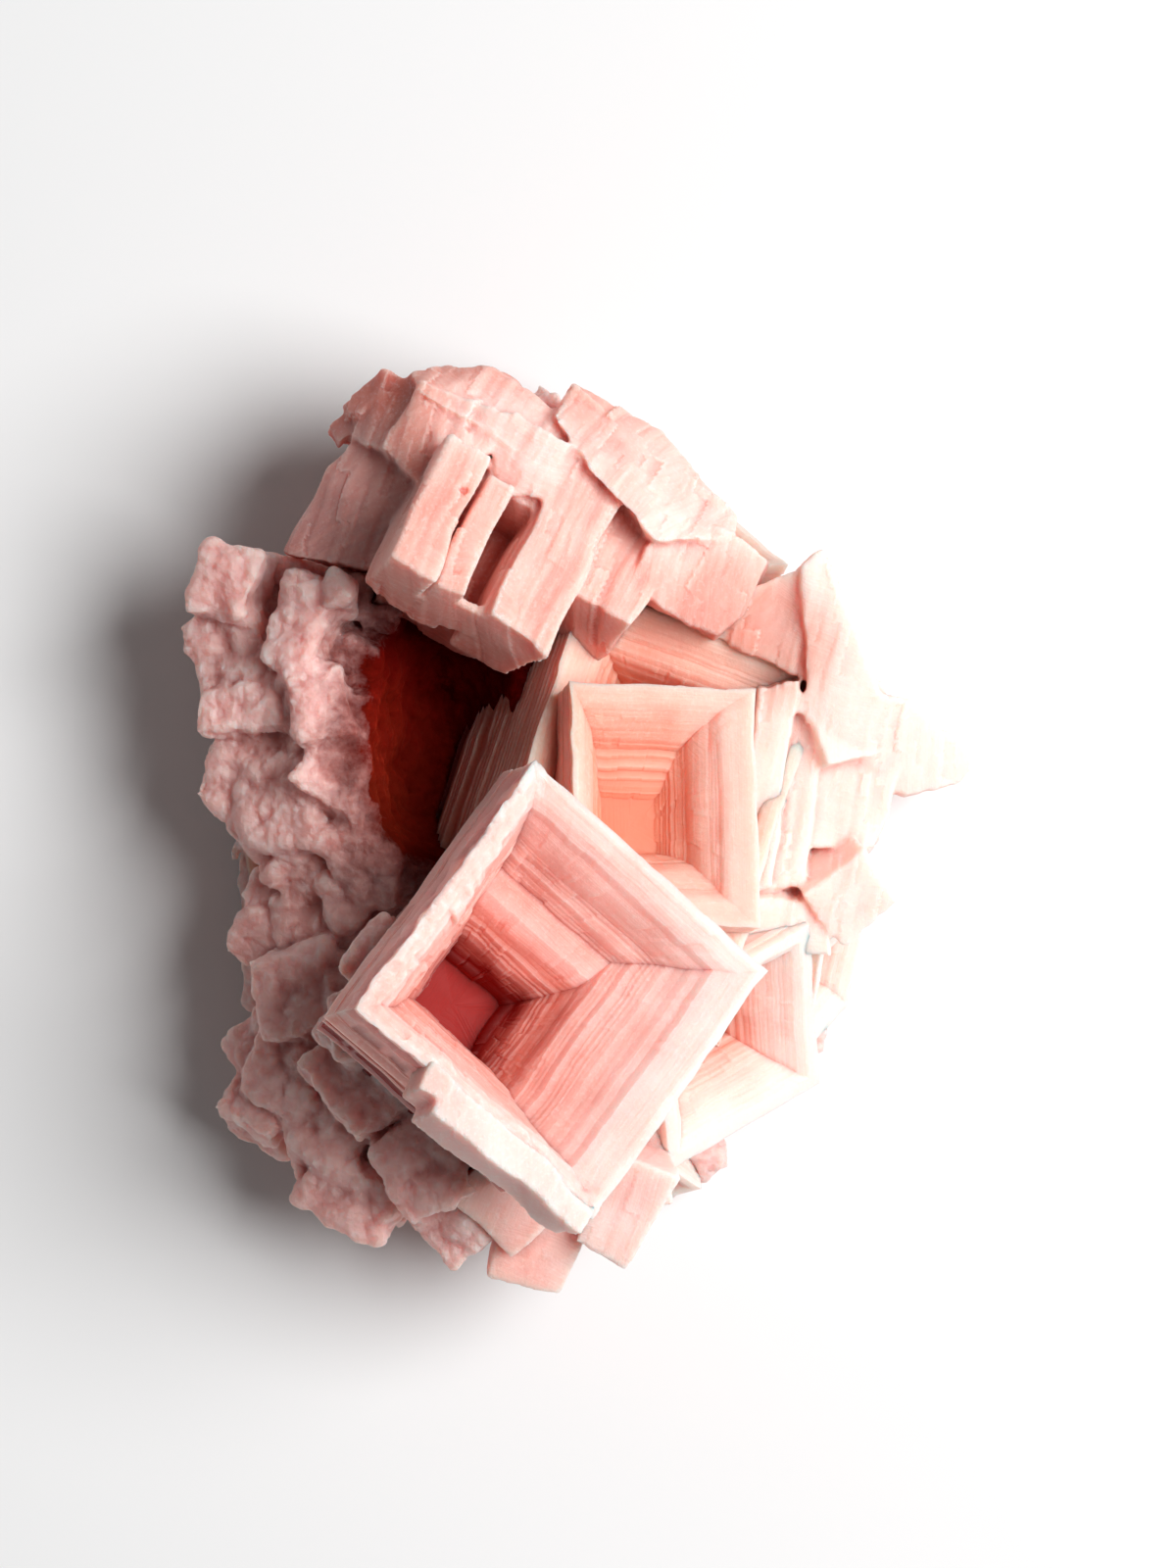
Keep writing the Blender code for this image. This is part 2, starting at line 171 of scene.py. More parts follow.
def place_of(at, turn=0.0, lean=0.0, compass=0.0):
    """A crystal's place in millimetres: turned in its own plane, then leant towards a compass angle."""
    about = Matrix.Rotation(math.radians(compass), 4, "Z")
    leaning = about @ Matrix.Rotation(math.radians(lean), 4, "Y") @ about.inverted()
    return Matrix.Translation(Vector(at)) @ leaning @ Matrix.Rotation(math.radians(turn), 4, "Z")


def moved(points, place):
    """Rows of points, each turned and shifted by a place."""
    matrix = np.array(place)
    return points @ matrix[:3, :3].T + matrix[:3, 3]


def layers(chance, count):
    """Layer boundaries from 0 to 1: a running sum of random widths, most fine and some thick."""
    width = chance.uniform(*FINE_LAYER, count)
    thick = chance.random(count) < THICK_SHARE
    width[thick] *= chance.uniform(*THICK_LAYER, thick.sum())
    return np.concatenate([[0.0], np.cumsum(width) / width.sum()])


def notches(chance, rows, samples, depth):
    """How far each layer's edge stands in or out along four sides: random levels held over random
    stretches, averaged with the layers on both sides of it, and none at the corners."""
    starts = chance.random((rows, 4, samples)) < NOTCH_RATE
    stretch = np.cumsum(starts, axis=2)
    levels = chance.normal(0.0, 1.0, (rows, 4, samples + 1))
    held = np.take_along_axis(levels, stretch, axis=2)
    padded = np.concatenate([held[:1], held, held[-1:]])
    mixed = NOTCH_MIX[0] * padded[:-2] + NOTCH_MIX[1] * padded[1:-1] + NOTCH_MIX[2] * padded[2:]
    from_corner = np.minimum(np.arange(samples), samples - np.arange(samples)) / samples
    fade = np.clip(from_corner * NOTCH_FADE, 0.0, 1.0)
    return mixed * fade * depth


def pit_rings(chance, sections, levels, samples, worn):
    """The rings of a pit, from its floor up to its rim: how far each point of each side stands from
    the pit's middle, and how high each ring is.

    Both are read from the pit's sections at a layer boundary, measured along the wall, and each
    layer has a riser, which leans near the rim and stands more upright near the floor.
    """
    upwards = np.array(sections)[::-1]
    length = np.abs(np.diff(upwards[:, 0])) + np.abs(np.diff(upwards[:, 1:], axis=0)).mean(axis=1)
    way = np.concatenate([[0.0], np.cumsum(length) / length.sum()])
    shared = layers(chance, levels)
    height = -np.interp(shared, way, upwards[:, 0])
    edge = np.empty((levels + 1, 4, samples))
    cut = notches(chance, levels + 1, samples, NOTCH_DEPTH)
    for number in range(4):
        own = SHARED_LAYERS * shared + (1.0 - SHARED_LAYERS) * layers(chance, levels)
        wear = 1.0 + worn[number] * shared[:, None] ** 2
        edge[:, number] = np.interp(own, way, upwards[:, 1 + number])[:, None]
        edge[:, number] += cut[:, number] * wear
    edge = np.repeat(np.maximum.accumulate(edge, axis=0), 2, axis=0)
    height = np.repeat(height, 2)
    upright = STEP_AT_FLOOR + (STEP_AT_RIM - STEP_AT_FLOOR) * shared[:-1]
    upright = upright * chance.uniform(*STEP_SPREAD, levels)
    edge[1:-1:2] += 0.5 * (1.0 - upright)[:, None, None] * (edge[2::2] - edge[1:-1:2])
    height[1:-1:2] += 0.5 * (1.0 + upright) * (height[2::2] - height[1:-1:2])
    return edge[:-1], height[:-1]


def outer_rings(chance, half, body, foot, levels, samples):
    """The rings of the outer side, from the rim down: it narrows to its foot in coarse ledges, or
    widens straight, and carries fine ledges of random width and notches."""
    down = layers(chance, max(levels, 12))
    step = down if foot > 1.0 else np.floor(np.minimum(down, 0.999) * LEDGES) / LEDGES
    narrowed = 1.0 - (1.0 - foot) * step
    strata = chance.uniform(0.0, STRATA_DEPTH, (len(down), 4))
    strata[0] = 0.0
    edge = (narrowed[:, None] * half - strata)[:, :, None]
    edge = edge - np.abs(notches(chance, len(down), samples, NOTCH_DEPTH))
    return np.repeat(edge, 2, axis=0)[:-1], np.repeat(-body * down, 2)[1:]


def crystal_skin(edges, body, sections, foot, seed, levels, samples, worn):
    """A closed square-ringed surface: rings step out and up over the layers of a pit from its floor
    to the rim, then step down and in over the ledges of the outer side. Each ring's side runs from
    one neighbour's distance to the other's, and a fan closes each end."""
    chance = np.random.default_rng(seed)
    half = np.array([edges[0], edges[1], edges[0], edges[1]]) / 2
    pit_edge, pit_height = pit_rings(chance, sections, levels, samples, worn)
    outer_edge, outer_height = outer_rings(chance, half, body, foot, levels, samples)
    edge = np.concatenate([np.minimum(pit_edge, half[:, None]), outer_edge])
    height = np.concatenate([pit_height, outer_height])
    rows, count = len(height), 4 * samples
    along = np.linspace(0.0, 1.0, samples, endpoint=False)
    ends = np.roll(edge[:, :, 0], -1, axis=1)
    starts = np.roll(edge[:, :, 0], 1, axis=1)
    run = -starts[:, :, None] * (1.0 - along) + ends[:, :, None] * along
    rings = np.empty((rows, 4, samples, 3))
    rings[..., 2] = height[:, None, None]
    for number, (across, sign) in enumerate(((0, 1), (1, 1), (0, -1), (1, -1))):
        turn = 1 if across == 0 else -1
        rings[:, number, :, across] = sign * edge[:, number]
        rings[:, number, :, 1 - across] = sign * turn * run[:, number]
    ring = np.arange(rows - 1)[:, None] * count
    column = np.arange(count)
    following = (column + 1) % count
    quads = np.stack([ring + column, ring + count + column, ring + count + following,
                      ring + following], axis=2).reshape(-1, 4)
    top, last = rows * count, (rows - 1) * count
    fan_top = np.stack([np.full(count, top), column, following], axis=1)
    fan_foot = np.stack([np.full(count, top + 1), last + following, last + column], axis=1)
    poles = [(0.5 * (edge[0, 0, 0] - edge[0, 2, 0]), 0.5 * (edge[0, 1, 0] - edge[0, 3, 0]), height[0]),
             (0.0, 0.0, -body)]
    return np.concatenate([rings.reshape(-1, 3), poles]), quads, np.concatenate([fan_top, fan_foot])


def mesh_of(name, points, quads, fans):
    """A mesh in metres from rows of millimetre points and faces."""
    mesh = bpy.data.meshes.new(name)
    mesh.from_pydata((points * MM).tolist(), [], quads.tolist() + fans.tolist())
    return mesh


def linked(name, mesh):
    """A mesh as an object in the scene, at the origin."""
    made = bpy.data.objects.new(name, mesh)
    scene.collection.objects.link(made)
    return made


def coordinates(mesh):
    """A mesh's points as rows of millimetres."""
    flat = np.empty(len(mesh.vertices) * 3, np.float32)
    mesh.vertices.foreach_get("co", flat)
    return flat.reshape(-1, 3).astype(float) / MM


def keep_in_box(mesh):
    """Holds every point inside the solid model's box, so that the size stays what it is."""
    low, high = (np.array(corner) / MM for corner in cad_box)
    held = np.clip(coordinates(mesh), low, high)
    mesh.vertices.foreach_set("co", (held * MM).astype(np.float32).ravel())
    mesh.update()


def write_growth_and_shade(mesh, place, edges, depth_span, redder):
    """Each point's place in the crystal's layers: millimetres across them, millimetres along them,
    and how red it is painted as painted shade, from 0 at the rim to 1 at the floor of the pit and more
    down the outer side, with some more added."""
    local = moved(coordinates(mesh), place.inverted())
    half = np.array(edges) / 2
    nearest = np.abs(local[:, :2]) / half
    ring = nearest.max(axis=1) * half.mean()
    along = np.where(nearest[:, 0] > nearest[:, 1], local[:, 1], local[:, 0])
    inside = np.clip((0.97 - nearest.max(axis=1)) / 0.08, 0.0, 1.0)
    # painted shade: redder down the pit and down the outer side
    depth = np.clip(-local[:, 2] / depth_span, 0.0, 1.0) ** DEPTH_BEND * inside
    depth = np.maximum(depth, np.clip(-local[:, 2] / SIDE_SHADE_DEPTH, 0.0, SIDE_SHADE_MOST)) + redder
    rows = np.stack([ring + local[:, 2], along, depth], axis=1).astype(np.float32)
    layer = mesh.attributes.new("growth", "FLOAT_VECTOR", "POINT")
    layer.data.foreach_set("vector", rows.ravel())


def normals(mesh):
    """A mesh's outward directions at its points."""
    flat = np.empty(len(mesh.vertices) * 3, np.float32)
    mesh.vertex_normals.foreach_get("vector", flat)
    return flat.reshape(-1, 3).astype(float)


def edge_ends(mesh):
    """The two ends of every edge, listed both ways round."""
    flat = np.empty(len(mesh.edges) * 2, np.int32)
    mesh.edges.foreach_get("vertices", flat)
    ends = flat.reshape(-1, 2)
    return np.r_[ends[:, 0], ends[:, 1]], np.r_[ends[:, 1], ends[:, 0]]


def write_bends(mesh, frost=0.0):
    """How far each point stands out on an edge, how deep it lies in a recess and how frosted it is,
    from 0 to 1: its distance from the mean place of the points round it, where that mean is spread
    over a few rounds of neighbours for edges and over many for recesses. The salts paint edges paler
    as painted highlight and recesses redder as painted shade."""
    points, outwards = coordinates(mesh), normals(mesh)
    start, end = edge_ends(mesh)
    count = np.maximum(np.bincount(start, minlength=len(points)), 1)[:, None]
    spread = points
    distances = []
    for rounds in BEND_ROUNDS:
        for _ in range(rounds):
            total = [np.bincount(start, spread[end, axis], len(points)) for axis in range(3)]
            spread = 0.4 * spread + 0.6 * np.stack(total, axis=1) / count
        distances.append(((spread - points) * outwards).sum(axis=1))
    edge = np.clip(-distances[0] / EDGE_HIGHLIGHT_FULL, 0, 1)
    recess = np.clip(distances[1] / RECESS_SHADE_FULL, 0, 1)
    rows = np.stack([edge, recess, frost + np.zeros(len(points))], axis=1).astype(np.float32)
    layer = mesh.attributes.new("bends", "FLOAT_VECTOR", "POINT")
    layer.data.foreach_set("vector", rows.ravel())


def painted_side_light(tree, where):
    """How much redder the salt is painted to the left, as painted shade away from the light on the
    right, and paler to the right as painted light.
    """
    apart = add_node(tree, "ShaderNodeSeparateXYZ", links={0: where.outputs["Object"]})
    share = add_node(tree, "ShaderNodeMapRange",
                     {"From Min": -0.034, "From Max": 0.022, "To Min": SIDE_LIGHT_SHADE[0],
                      "To Max": SIDE_LIGHT_SHADE[1]}, {"Value": apart.outputs["X"]})
    return share.outputs[0]


def rose_halite(name, rim, wall, deep, floor_shade_colour, frost, contrast=0.2):
    """Cloudy rose rock salt, grown in layers, which scatters light inside. Its edges are painted paler
    as painted highlight, its pits and recesses redder as painted shade, its left redder as painted
    shade and its right paler as painted light, and its layers show as fine lines 0.3 to 1 mm apart."""
    material = bpy.data.materials.new(name)
    material.use_nodes = True
    tree = material.node_tree
    shader = tree.nodes["Principled BSDF"]
    # a frosted face: the layers scatter the light, so there is a sheen and no mirror
    shader.inputs["Roughness"].default_value = 0.6
    shader.inputs["Specular IOR Level"].default_value = 0.22
    shader.inputs["IOR"].default_value = 1.54
    shader.inputs["Subsurface Weight"].default_value = 1.0
    shader.inputs["Subsurface Radius"].default_value = (1.0, 0.5, 0.42)
    shader.inputs["Subsurface Scale"].default_value = 0.0036
    growth = add_node(tree, "ShaderNodeAttribute", {"attribute_name": "growth"})
    where = add_node(tree, "ShaderNodeTexCoord")
    depth = add_node(tree, "ShaderNodeSeparateXYZ", links={0: growth.outputs["Vector"]})
    # lines 1 mm apart that run on for about 20 mm
    lines_at = add_node(tree, "ShaderNodeMapping", {"Scale": (1.0, 0.05, 0.0)},
                        {"Vector": growth.outputs["Vector"]})
    lines = add_node(tree, "ShaderNodeTexNoise", {"Scale": 1.6, "Detail": 4.0, "Roughness": 0.62},
                     {"Vector": lines_at.outputs["Vector"]})
    # cloudy patches about 7 mm across
    clouds = add_node(tree, "ShaderNodeTexNoise", {"Scale": 140.0, "Detail": 3.0},
                      {"Vector": where.outputs["Object"]})
    # frosty grains about 0.5 mm across
    grains = add_node(tree, "ShaderNodeTexNoise", {"Scale": 2200.0, "Detail": 2.0, "Roughness": 0.7},
                      {"Vector": where.outputs["Object"]})
    lined = add_node(tree, "ShaderNodeMath",
                     {"operation": "MULTIPLY_ADD", 1: contrast, 2: 0.08 - contrast / 2},
                     {0: lines.outputs["Fac"]})
    cloudy = add_node(tree, "ShaderNodeMath", {"operation": "MULTIPLY_ADD", 1: 0.5, 2: -0.25},
                      {0: clouds.outputs["Fac"]})
    patterned = add_node(tree, "ShaderNodeMath", {"operation": "ADD"},
                         {0: lined.outputs[0], 1: cloudy.outputs[0]})
    # the left painted redder as painted shade and the right paler as painted light
    with_side_light = add_node(tree, "ShaderNodeMath", {"operation": "ADD"},
                         {0: patterned.outputs[0], 1: painted_side_light(tree, where)})
    redness = add_node(tree, "ShaderNodeMath", {"operation": "ADD", "use_clamp": True},
                       {0: depth.outputs["Z"], 1: with_side_light.outputs[0]})
    # the ramp runs from the rim's pink to the deep and floor colours, which are painted shade
    ramp = add_node(tree, "ShaderNodeValToRGB", links={0: redness.outputs[0]})
    stops = ramp.color_ramp.elements
    stops[0].color = linear(rim)
    stops[1].color = linear(floor_shade_colour)
    stops.new(0.3).color = linear(wall)
    stops.new(0.68).color = linear(deep)
    grainy = add_node(tree, "ShaderNodeMapRange",
                      {"From Min": 0.52, "From Max": 0.72, "To Min": 0.0, "To Max": 0.2},
                      {"Value": grains.outputs["Fac"]})
    shallow = add_node(tree, "ShaderNodeMapRange",
                       {"From Min": 0.2, "From Max": 0.6, "To Min": 1.0, "To Max": 0.0},
                       {"Value": depth.outputs["Z"]})
    frosted = add_node(tree, "ShaderNodeMath", {"operation": "MULTIPLY"},
                       {0: grainy.outputs[0], 1: shallow.outputs[0]})
    bends = add_node(tree, "ShaderNodeAttribute", {"attribute_name": "bends"})
    bend = add_node(tree, "ShaderNodeSeparateXYZ", links={0: bends.outputs["Vector"]})
    # convex edges painted paler: painted highlight, on top of the frost grains
    edged = add_node(tree, "ShaderNodeMath",
                     {"operation": "MULTIPLY_ADD", 1: 0.22, "use_clamp": True},
                     {0: bend.outputs["X"], 2: frosted.outputs[0]})
    whitened = add_node(tree, "ShaderNodeMath", {"operation": "ADD", "use_clamp": True},
                        {0: bend.outputs["Z"], 1: edged.outputs[0]})
    # recesses painted redder: painted shade
    crease_shade = add_node(tree, "ShaderNodeMath", {"operation": "MULTIPLY", 1: 0.6},
                       {0: bend.outputs["Y"]})
    crease_shaded = add_node(tree, "ShaderNodeMix", {"data_type": "RGBA", 7: linear(floor_shade_colour)},
                        {0: crease_shade.outputs[0], 6: ramp.outputs["Color"]})
    coloured = add_node(tree, "ShaderNodeMix", {"data_type": "RGBA", 7: linear(frost)},
                        {0: whitened.outputs[0], 6: crease_shaded.outputs[2]})
    tree.links.new(coloured.outputs[2], shader.inputs["Base Color"])
    # ridges about 0.3 mm apart along the layers
    fine = add_node(tree, "ShaderNodeTexNoise", {"Scale": 3.6, "Detail": 2.0},
                    {"Vector": lines_at.outputs["Vector"]})
    ridged = add_node(tree, "ShaderNodeBump", {"Strength": 0.5, "Distance": 0.00016},
                      {"Height": fine.outputs["Fac"]})
    grained = add_node(tree, "ShaderNodeBump", {"Distance": 0.00008},
                       {"Height": grains.outputs["Fac"], "Normal": ridged.outputs["Normal"],
                        "Strength": shallow.outputs[0]})
    tree.links.new(grained.outputs["Normal"], shader.inputs["Normal"])
    return material


def finish_crystal(made, place, edges, depth_span, material, frost=0.0, redder=0.0):
    """Gives a crystal its growth layers, its painted shade and painted edge highlight, and its salt,
    and hands it to the frame.
    """
    keep_in_box(made.data)
    write_growth_and_shade(made.data, place, edges, depth_span, redder)
    write_bends(made.data, frost)
    made.data.materials.clear()
    made.data.materials.append(material)
    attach(made, "root")
    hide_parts("halite_cluster")


def hashed(cell, seed):
    """Three random numbers from 0 to 1 for each row of whole numbers, by large prime products."""
    mixed = (cell[..., 0] * 73856093) ^ (cell[..., 1] * 19349663) ^ (cell[..., 2] * 83492791)
    mixed = mixed + seed * 2654435761
    parts = []
    for shift in (12.9898, 78.233, 37.719):
        parts.append(np.modf(np.abs(np.sin((mixed % 1000003) * shift) * 43758.5453))[0])
    return np.stack(parts, axis=-1)


def drift(points, size, seed):
    """Smooth random shifts: the eight random arrows at the corners of a point's lattice cell,
    blended by where it lies between them with an s-curve."""
    scaled = points / size
    cell = np.floor(scaled).astype(np.int64)
    share = scaled - cell
    share = share * share * (3.0 - 2.0 * share)
    made = np.zeros_like(points)
    for corner in np.ndindex(2, 2, 2):
        weight = np.abs(1.0 - np.array(corner) - share).prod(axis=1)
        made += weight[:, None] * (hashed(cell + np.array(corner), seed) - 0.5)
    return 2.0 * made


def uneven(points, amount, seed):
    """Points pushed about a little, so that no edge runs perfectly straight."""
    return points + sum(amount * share * drift(points, across, seed + number)
                        for number, (across, share) in enumerate(WANDER))


def hopper_piece(name, place, edges, body, sections, foot, seed, levels, samples, worn=(0, 0, 0, 0)):
    """A hopper cube as its own object, in place."""
    points, quads, fans = crystal_skin(edges, body, sections, foot, seed, levels, samples, worn)
    points = uneven(points, UNEVEN, seed)
    return linked(name, mesh_of(name, moved(points, place), quads, fans))


front_place = place_of(FRONT_PLACE, *FRONT_POSE)
# its deep and floor colours are the pit's painted shade
front_salt = rose_halite("rose_halite_front", "#FADCD5", "#F6BDB2", "#E08676", "#960F06", "#FFF4F1")
FRONT_PIT = (
    # depth; half widths towards the lower right, the upper right, the upper left and the lower left
    (0.0, 15.7, 15.7, 15.7, 15.7),
    (0.8, 13.6, 13.8, 14.2, 14.2),
    (3.0, 10.9, 12.4, 12.7, 12.7),
    (6.0, 7.8, 10.9, 11.3, 10.8),
    (9.0, 4.9, 9.1, 10.2, 9.0),
    (11.0, 4.3, 5.6, 9.8, 7.6),
    (15.0, 2.3, 3.2, 8.0, 5.8),
    (18.0, 1.9, 2.7, 7.0, 4.8),
    (21.0, 1.6, 2.3, 6.4, 4.2),
)
front = hopper_piece("front_hopper", front_place, (FRONT_EDGE, FRONT_EDGE), 27.0, FRONT_PIT,
                     0.6, 1, 30, 72, WORN_WALLS)
rest = coordinates(front.data)
local = moved(rest, front_place.inverted())
leftmost = -np.minimum(local[:, 0], local[:, 1] + 0.8)
worn = np.clip((leftmost - WORN_FROM) / 1.5, 0, 1) * np.clip((local[:, 2] + WORN_DOWN) / 2.0, 0, 1)
shaped = rest + worn[:, None] * WORN_RIM * (drift(rest, WORN_OVER[0], 5) + drift(rest, WORN_OVER[1], 6))
front.data.vertices.foreach_set("co", (shaped * MM).astype(np.float32).ravel())
front.data.update()
finish_crystal(front, front_place, (FRONT_EDGE, FRONT_EDGE), PIT_SHADE_DEPTH, front_salt, WORN_FROST * worn)

# The hoppers behind and below the front one
# Two hoppers grew half into each other behind the front cube, and one leans out below it. They are
# painted peach as painted light, where the light comes through from the right.
HOPPERS = {
    # name: middle of its mouth, turn, lean and compass; edges; body, pit, rim, floor and foot, where
    # the last three are shares of half an edge; layers, and points along a side
    "middle_hopper": (((7.8, 5.9, 29.0), -19.0, 20.0, 50.0), (27.0, 32.0), (22, 11, 0.08, 0.3, 1.36),
                      (20, 56)),
    "inner_hopper": (((8.1, 2.0, 35.0), -0.5, 18.0, 38.0), (19.6, 25.0), (15, 9, 0.08, 0.3, 1.0),
                     (20, 48)),
    "lower_hopper": (((15.9, -23.4, 23.0), 17.0, 49.0, -33.0), (21.0, 21.0), (17, 8, 0.14, 0.3, 0.75),
                     (18, 48)),
    "right_foot_hopper": (((26.5, -16.5, 10.5), 10.0, 72.0, -22.0), (13.0, 14.0),
                          (12, 5, 0.14, 0.2, 0.75), (16, 28)),
    "right_low_hopper": (((29.5, 9.5, 8.5), -8.0, 78.0, 14.0), (11.0, 12.0), (12, 4.5, 0.14, 0.2, 0.75),
                         (16, 28)),
    "back_hopper": (((11.5, 31.5, 13.0), 22.0, 66.0, 66.0), (15.0, 15.0), (13, 6, 0.12, 0.2, 0.75),
                    (18, 30)),
    "back_left_hopper": (((-19.0, 36.5, 12.5), 30.0, 62.0, 122.0), (12.0, 13.0),
                         (12, 5, 0.14, 0.2, 0.75), (16, 28)),
    "left_hopper": (((-33.5, -8.0, 10.0), 12.0, 66.0, 184.0), (12.0, 12.0), (12, 4.5, 0.14, 0.2, 0.75),
                    (16, 28)),
    "near_hopper": (((3.5, -38.5, 10.0), 25.0, 64.0, -86.0), (14.0, 13.0), (13, 5.5, 0.12, 0.2, 0.75),
                    (18, 28)),
}
# the hoppers towards the light, on the right and below, get a paler salt: painted light
PALE_LIT = ("lower_hopper", "right_foot_hopper", "right_low_hopper", "near_hopper")
CLEAR_ABOVE = 18.0        # mm kept open above the mouths of the two big pits


def even_pit(edges, pit, rim, floor):
    """Sections through a pit whose four walls are alike: rows of depth and four half widths, from
    the rim down. Depth is the pit's depth times (share of the way in) to a power."""
    inwards = np.linspace(0.0, 1.0, 12)
    share = 1.0 - rim - (1.0 - rim - floor) * inwards
    half = np.array([edges[0], edges[1], edges[0], edges[1]]) / 2
    return np.c_[pit * inwards ** PIT_CURVE, share[:, None] * half]


def applied(made):
    """Turns an object's modifiers into its mesh."""
    graph = bpy.context.evaluated_depsgraph_get()
    made.data = bpy.data.meshes.new_from_object(made.evaluated_get(graph))
    made.modifiers.clear()


def carve(target, operation, tools):
    """Joins tools to the target, or cuts them from it, and removes them."""
    group = bpy.data.collections.new("tools")
    for tool in tools:
        group.objects.link(tool)
    step = target.modifiers.new("carve", "BOOLEAN")
    step.operation = operation
    step.operand_type = "COLLECTION"
    step.collection = group
    step.solver = "MANIFOLD"  # the exact solver leaves edges shared by three faces here
    applied(target)
    for tool in tools:
        bpy.data.objects.remove(tool)
    bpy.data.collections.remove(group)


def room_of(place, edges, pit, rim, floor, clear):
    """The open space of a pit and above it: a square cone, then straight up."""
    corner = np.array([(1, -1), (1, 1), (-1, 1), (-1, -1)], float) * np.array(edges) / 2
    deep = pit + 0.6
    rings = [(floor, -deep), (1.0 - rim, 0.0), (1.0 - rim, clear)]
    points = np.concatenate([np.c_[corner * share, np.full(4, height)] for share, height in rings])
    sides = [[r * 4 + c, r * 4 + (c + 1) % 4, r * 4 + 4 + (c + 1) % 4, r * 4 + 4 + c]
             for r in range(2) for c in range(4)]
    caps = [[3, 2, 1, 0], [8, 9, 10, 11]]
    mesh = bpy.data.meshes.new("room")
    mesh.from_pydata((moved(points, place) * MM).tolist(), [], sides + caps)
    return linked("room", mesh)


# painted light: a paler peach salt where the light comes through from the right; its deep and floor
# colours are painted shade
peach_salt = rose_halite("rose_halite_peach", "#F8CDBF", "#F2B29E", "#E6957C", "#DC8468", "#FFEDE4")
# painted light: a paler salt for the pieces towards the light, on the right and below; its deep and
# floor colours are painted shade
pale_lit_salt = rose_halite("rose_halite_pale_lit", "#FADDD4", "#F6C8BC", "#E99C8A", "#C4644C", "#FFEDE7")
front_room = (front_place, (FRONT_EDGE, FRONT_EDGE), 21.0, 0.05, 0.18, CLEAR_ABOVE)
inner_spot, inner_edges = HOPPERS["inner_hopper"][:2]
inner_room = (place_of(*inner_spot), inner_edges, 9.0, 0.08, 0.3, CLEAR_ABOVE)
PITS = {
    # the same rows as the front pit's: depth; right, up, left and down the face
    "inner_hopper": (
        (0.0, 9.3, 12.1, 9.4, 12.0), (0.5, 6.6, 10.4, 8.5, 9.6), (3.0, 4.1, 8.1, 6.8, 6.1),
        (5.2, 3.0, 6.7, 6.0, 4.6), (6.8, 1.6, 3.4, 5.4, 4.0), (7.6, 0.8, 2.2, 4.9, 3.6)),
    "middle_hopper": (
        (0.0, 13.0, 15.6, 13.0, 15.6), (0.5, 11.6, 14.7, 11.8, 14.4), (3.0, 10.9, 12.2, 9.0, 12.4),
        (4.0, 10.7, 11.2, 8.4, 11.6), (9.0, 6.0, 10.2, 5.5, 8.0), (11.0, 4.0, 9.0, 4.0, 5.0)),
}
ROOMS_CUT = {
    # hoppers that reach into the open space of another pit
    "middle_hopper": (front_room, inner_room),
    "inner_hopper": (front_room,),
    "lower_hopper": (front_room,),
}
for number, (name, (spot, edges, (body, pit, rim, floor, foot), (levels, samples))) in enumerate(
        HOPPERS.items()):
    place = place_of(*spot)
    sections = PITS.get(name, even_pit(edges, pit, rim, floor))
    made = hopper_piece(name, place, edges, body, sections, foot, 20 + number, levels, samples)
    if name in ROOMS_CUT:
        carve(made, "DIFFERENCE", [room_of(*room) for room in ROOMS_CUT[name]])
    finish_crystal(made, place, edges, pit, pale_lit_salt if name in PALE_LIT else peach_salt)

# The plain crystals
# Bars, plates and cubes with flat faces, grown into each other in three groups: the upper crystal
# with its slot and its groove, the pale pointed wing on the right, and the cubes below the front.
UPPER_PLACE = ((-8.6, 31.0, 39.5), -27.0, 20.0, 45.0)
upper_place = place_of(*UPPER_PLACE)
GROUPS = {
    # each block: the crystal that carries it, if any; its middle and lean; size; wear and seed
    "upper_crystal": (
        ("upper", ((-2.6, -2.4, -4.4),), (12.2, 15.6, 6.4), 0.02, 39),
        ("upper", ((1.0, 0.0, -13.0),), (15.0, 14.0, 18.0), 0.0, 0),
        ("upper", ((-6.3, -3.3, -3.0),), (5.2, 14.5, 13.0), 0.03, 36),
        ("upper", ((-1.6, -3.6, -4.0),), (3.2, 13.5, 11.0), 0.03, 37),
        ("upper", ((6.0, 0.4, -6.0), 0.0, 6.0, 0.0), (7.0, 21.5, 13.0), 0.02, 34),
        (None, ((-0.8, 29.6, 23.5), -38, 22, 48), (20.0, 18.0, 20.0), 0.03, 38),
    ),
    "right_wing": (
        (None, ((25.8, 9.6, 20.0), 20, 30, 20), (9.0, 7.5, 10.0), 0.06, 42),
        (None, ((26.9, -6.2, 20.4), 38, 26, -60), (7.8, 7.8, 8.0), 0.04, 45),
        (None, ((20.6, -9.8, 19.5), -8, 18, -60), (9.0, 5.6, 8.0), 0.06, 46),
    ),
    "lower_cubes": (
        (None, ((-4.8, -41.8, 18.0), -16, 22, 265), (8.2, 8.6, 13.0), 0.05, 21),
        (None, ((-6.6, -37.0, 22.5), 40, 14, 250), (11.0, 9.0, 12.0), 0.05, 22),
        (None, ((3.8, -38.0, 22.0), -28, 16, 280), (5.8, 11.5, 14.0), 0.05, 23),
        (None, ((1.5, -33.0, 15.0), 12, 20, 275), (13.0, 12.0, 14.0), 0.05, 24),
        ("front", ((5.9, -17.0, -2.2), 4.0), (19.8, 4.2, 5.6), 0.01, 25),
        ("front", ((-5.0, -16.4, -1.6), 10.0), (3.2, 4.2, 5.4), 0.04, 26),
    ),
}
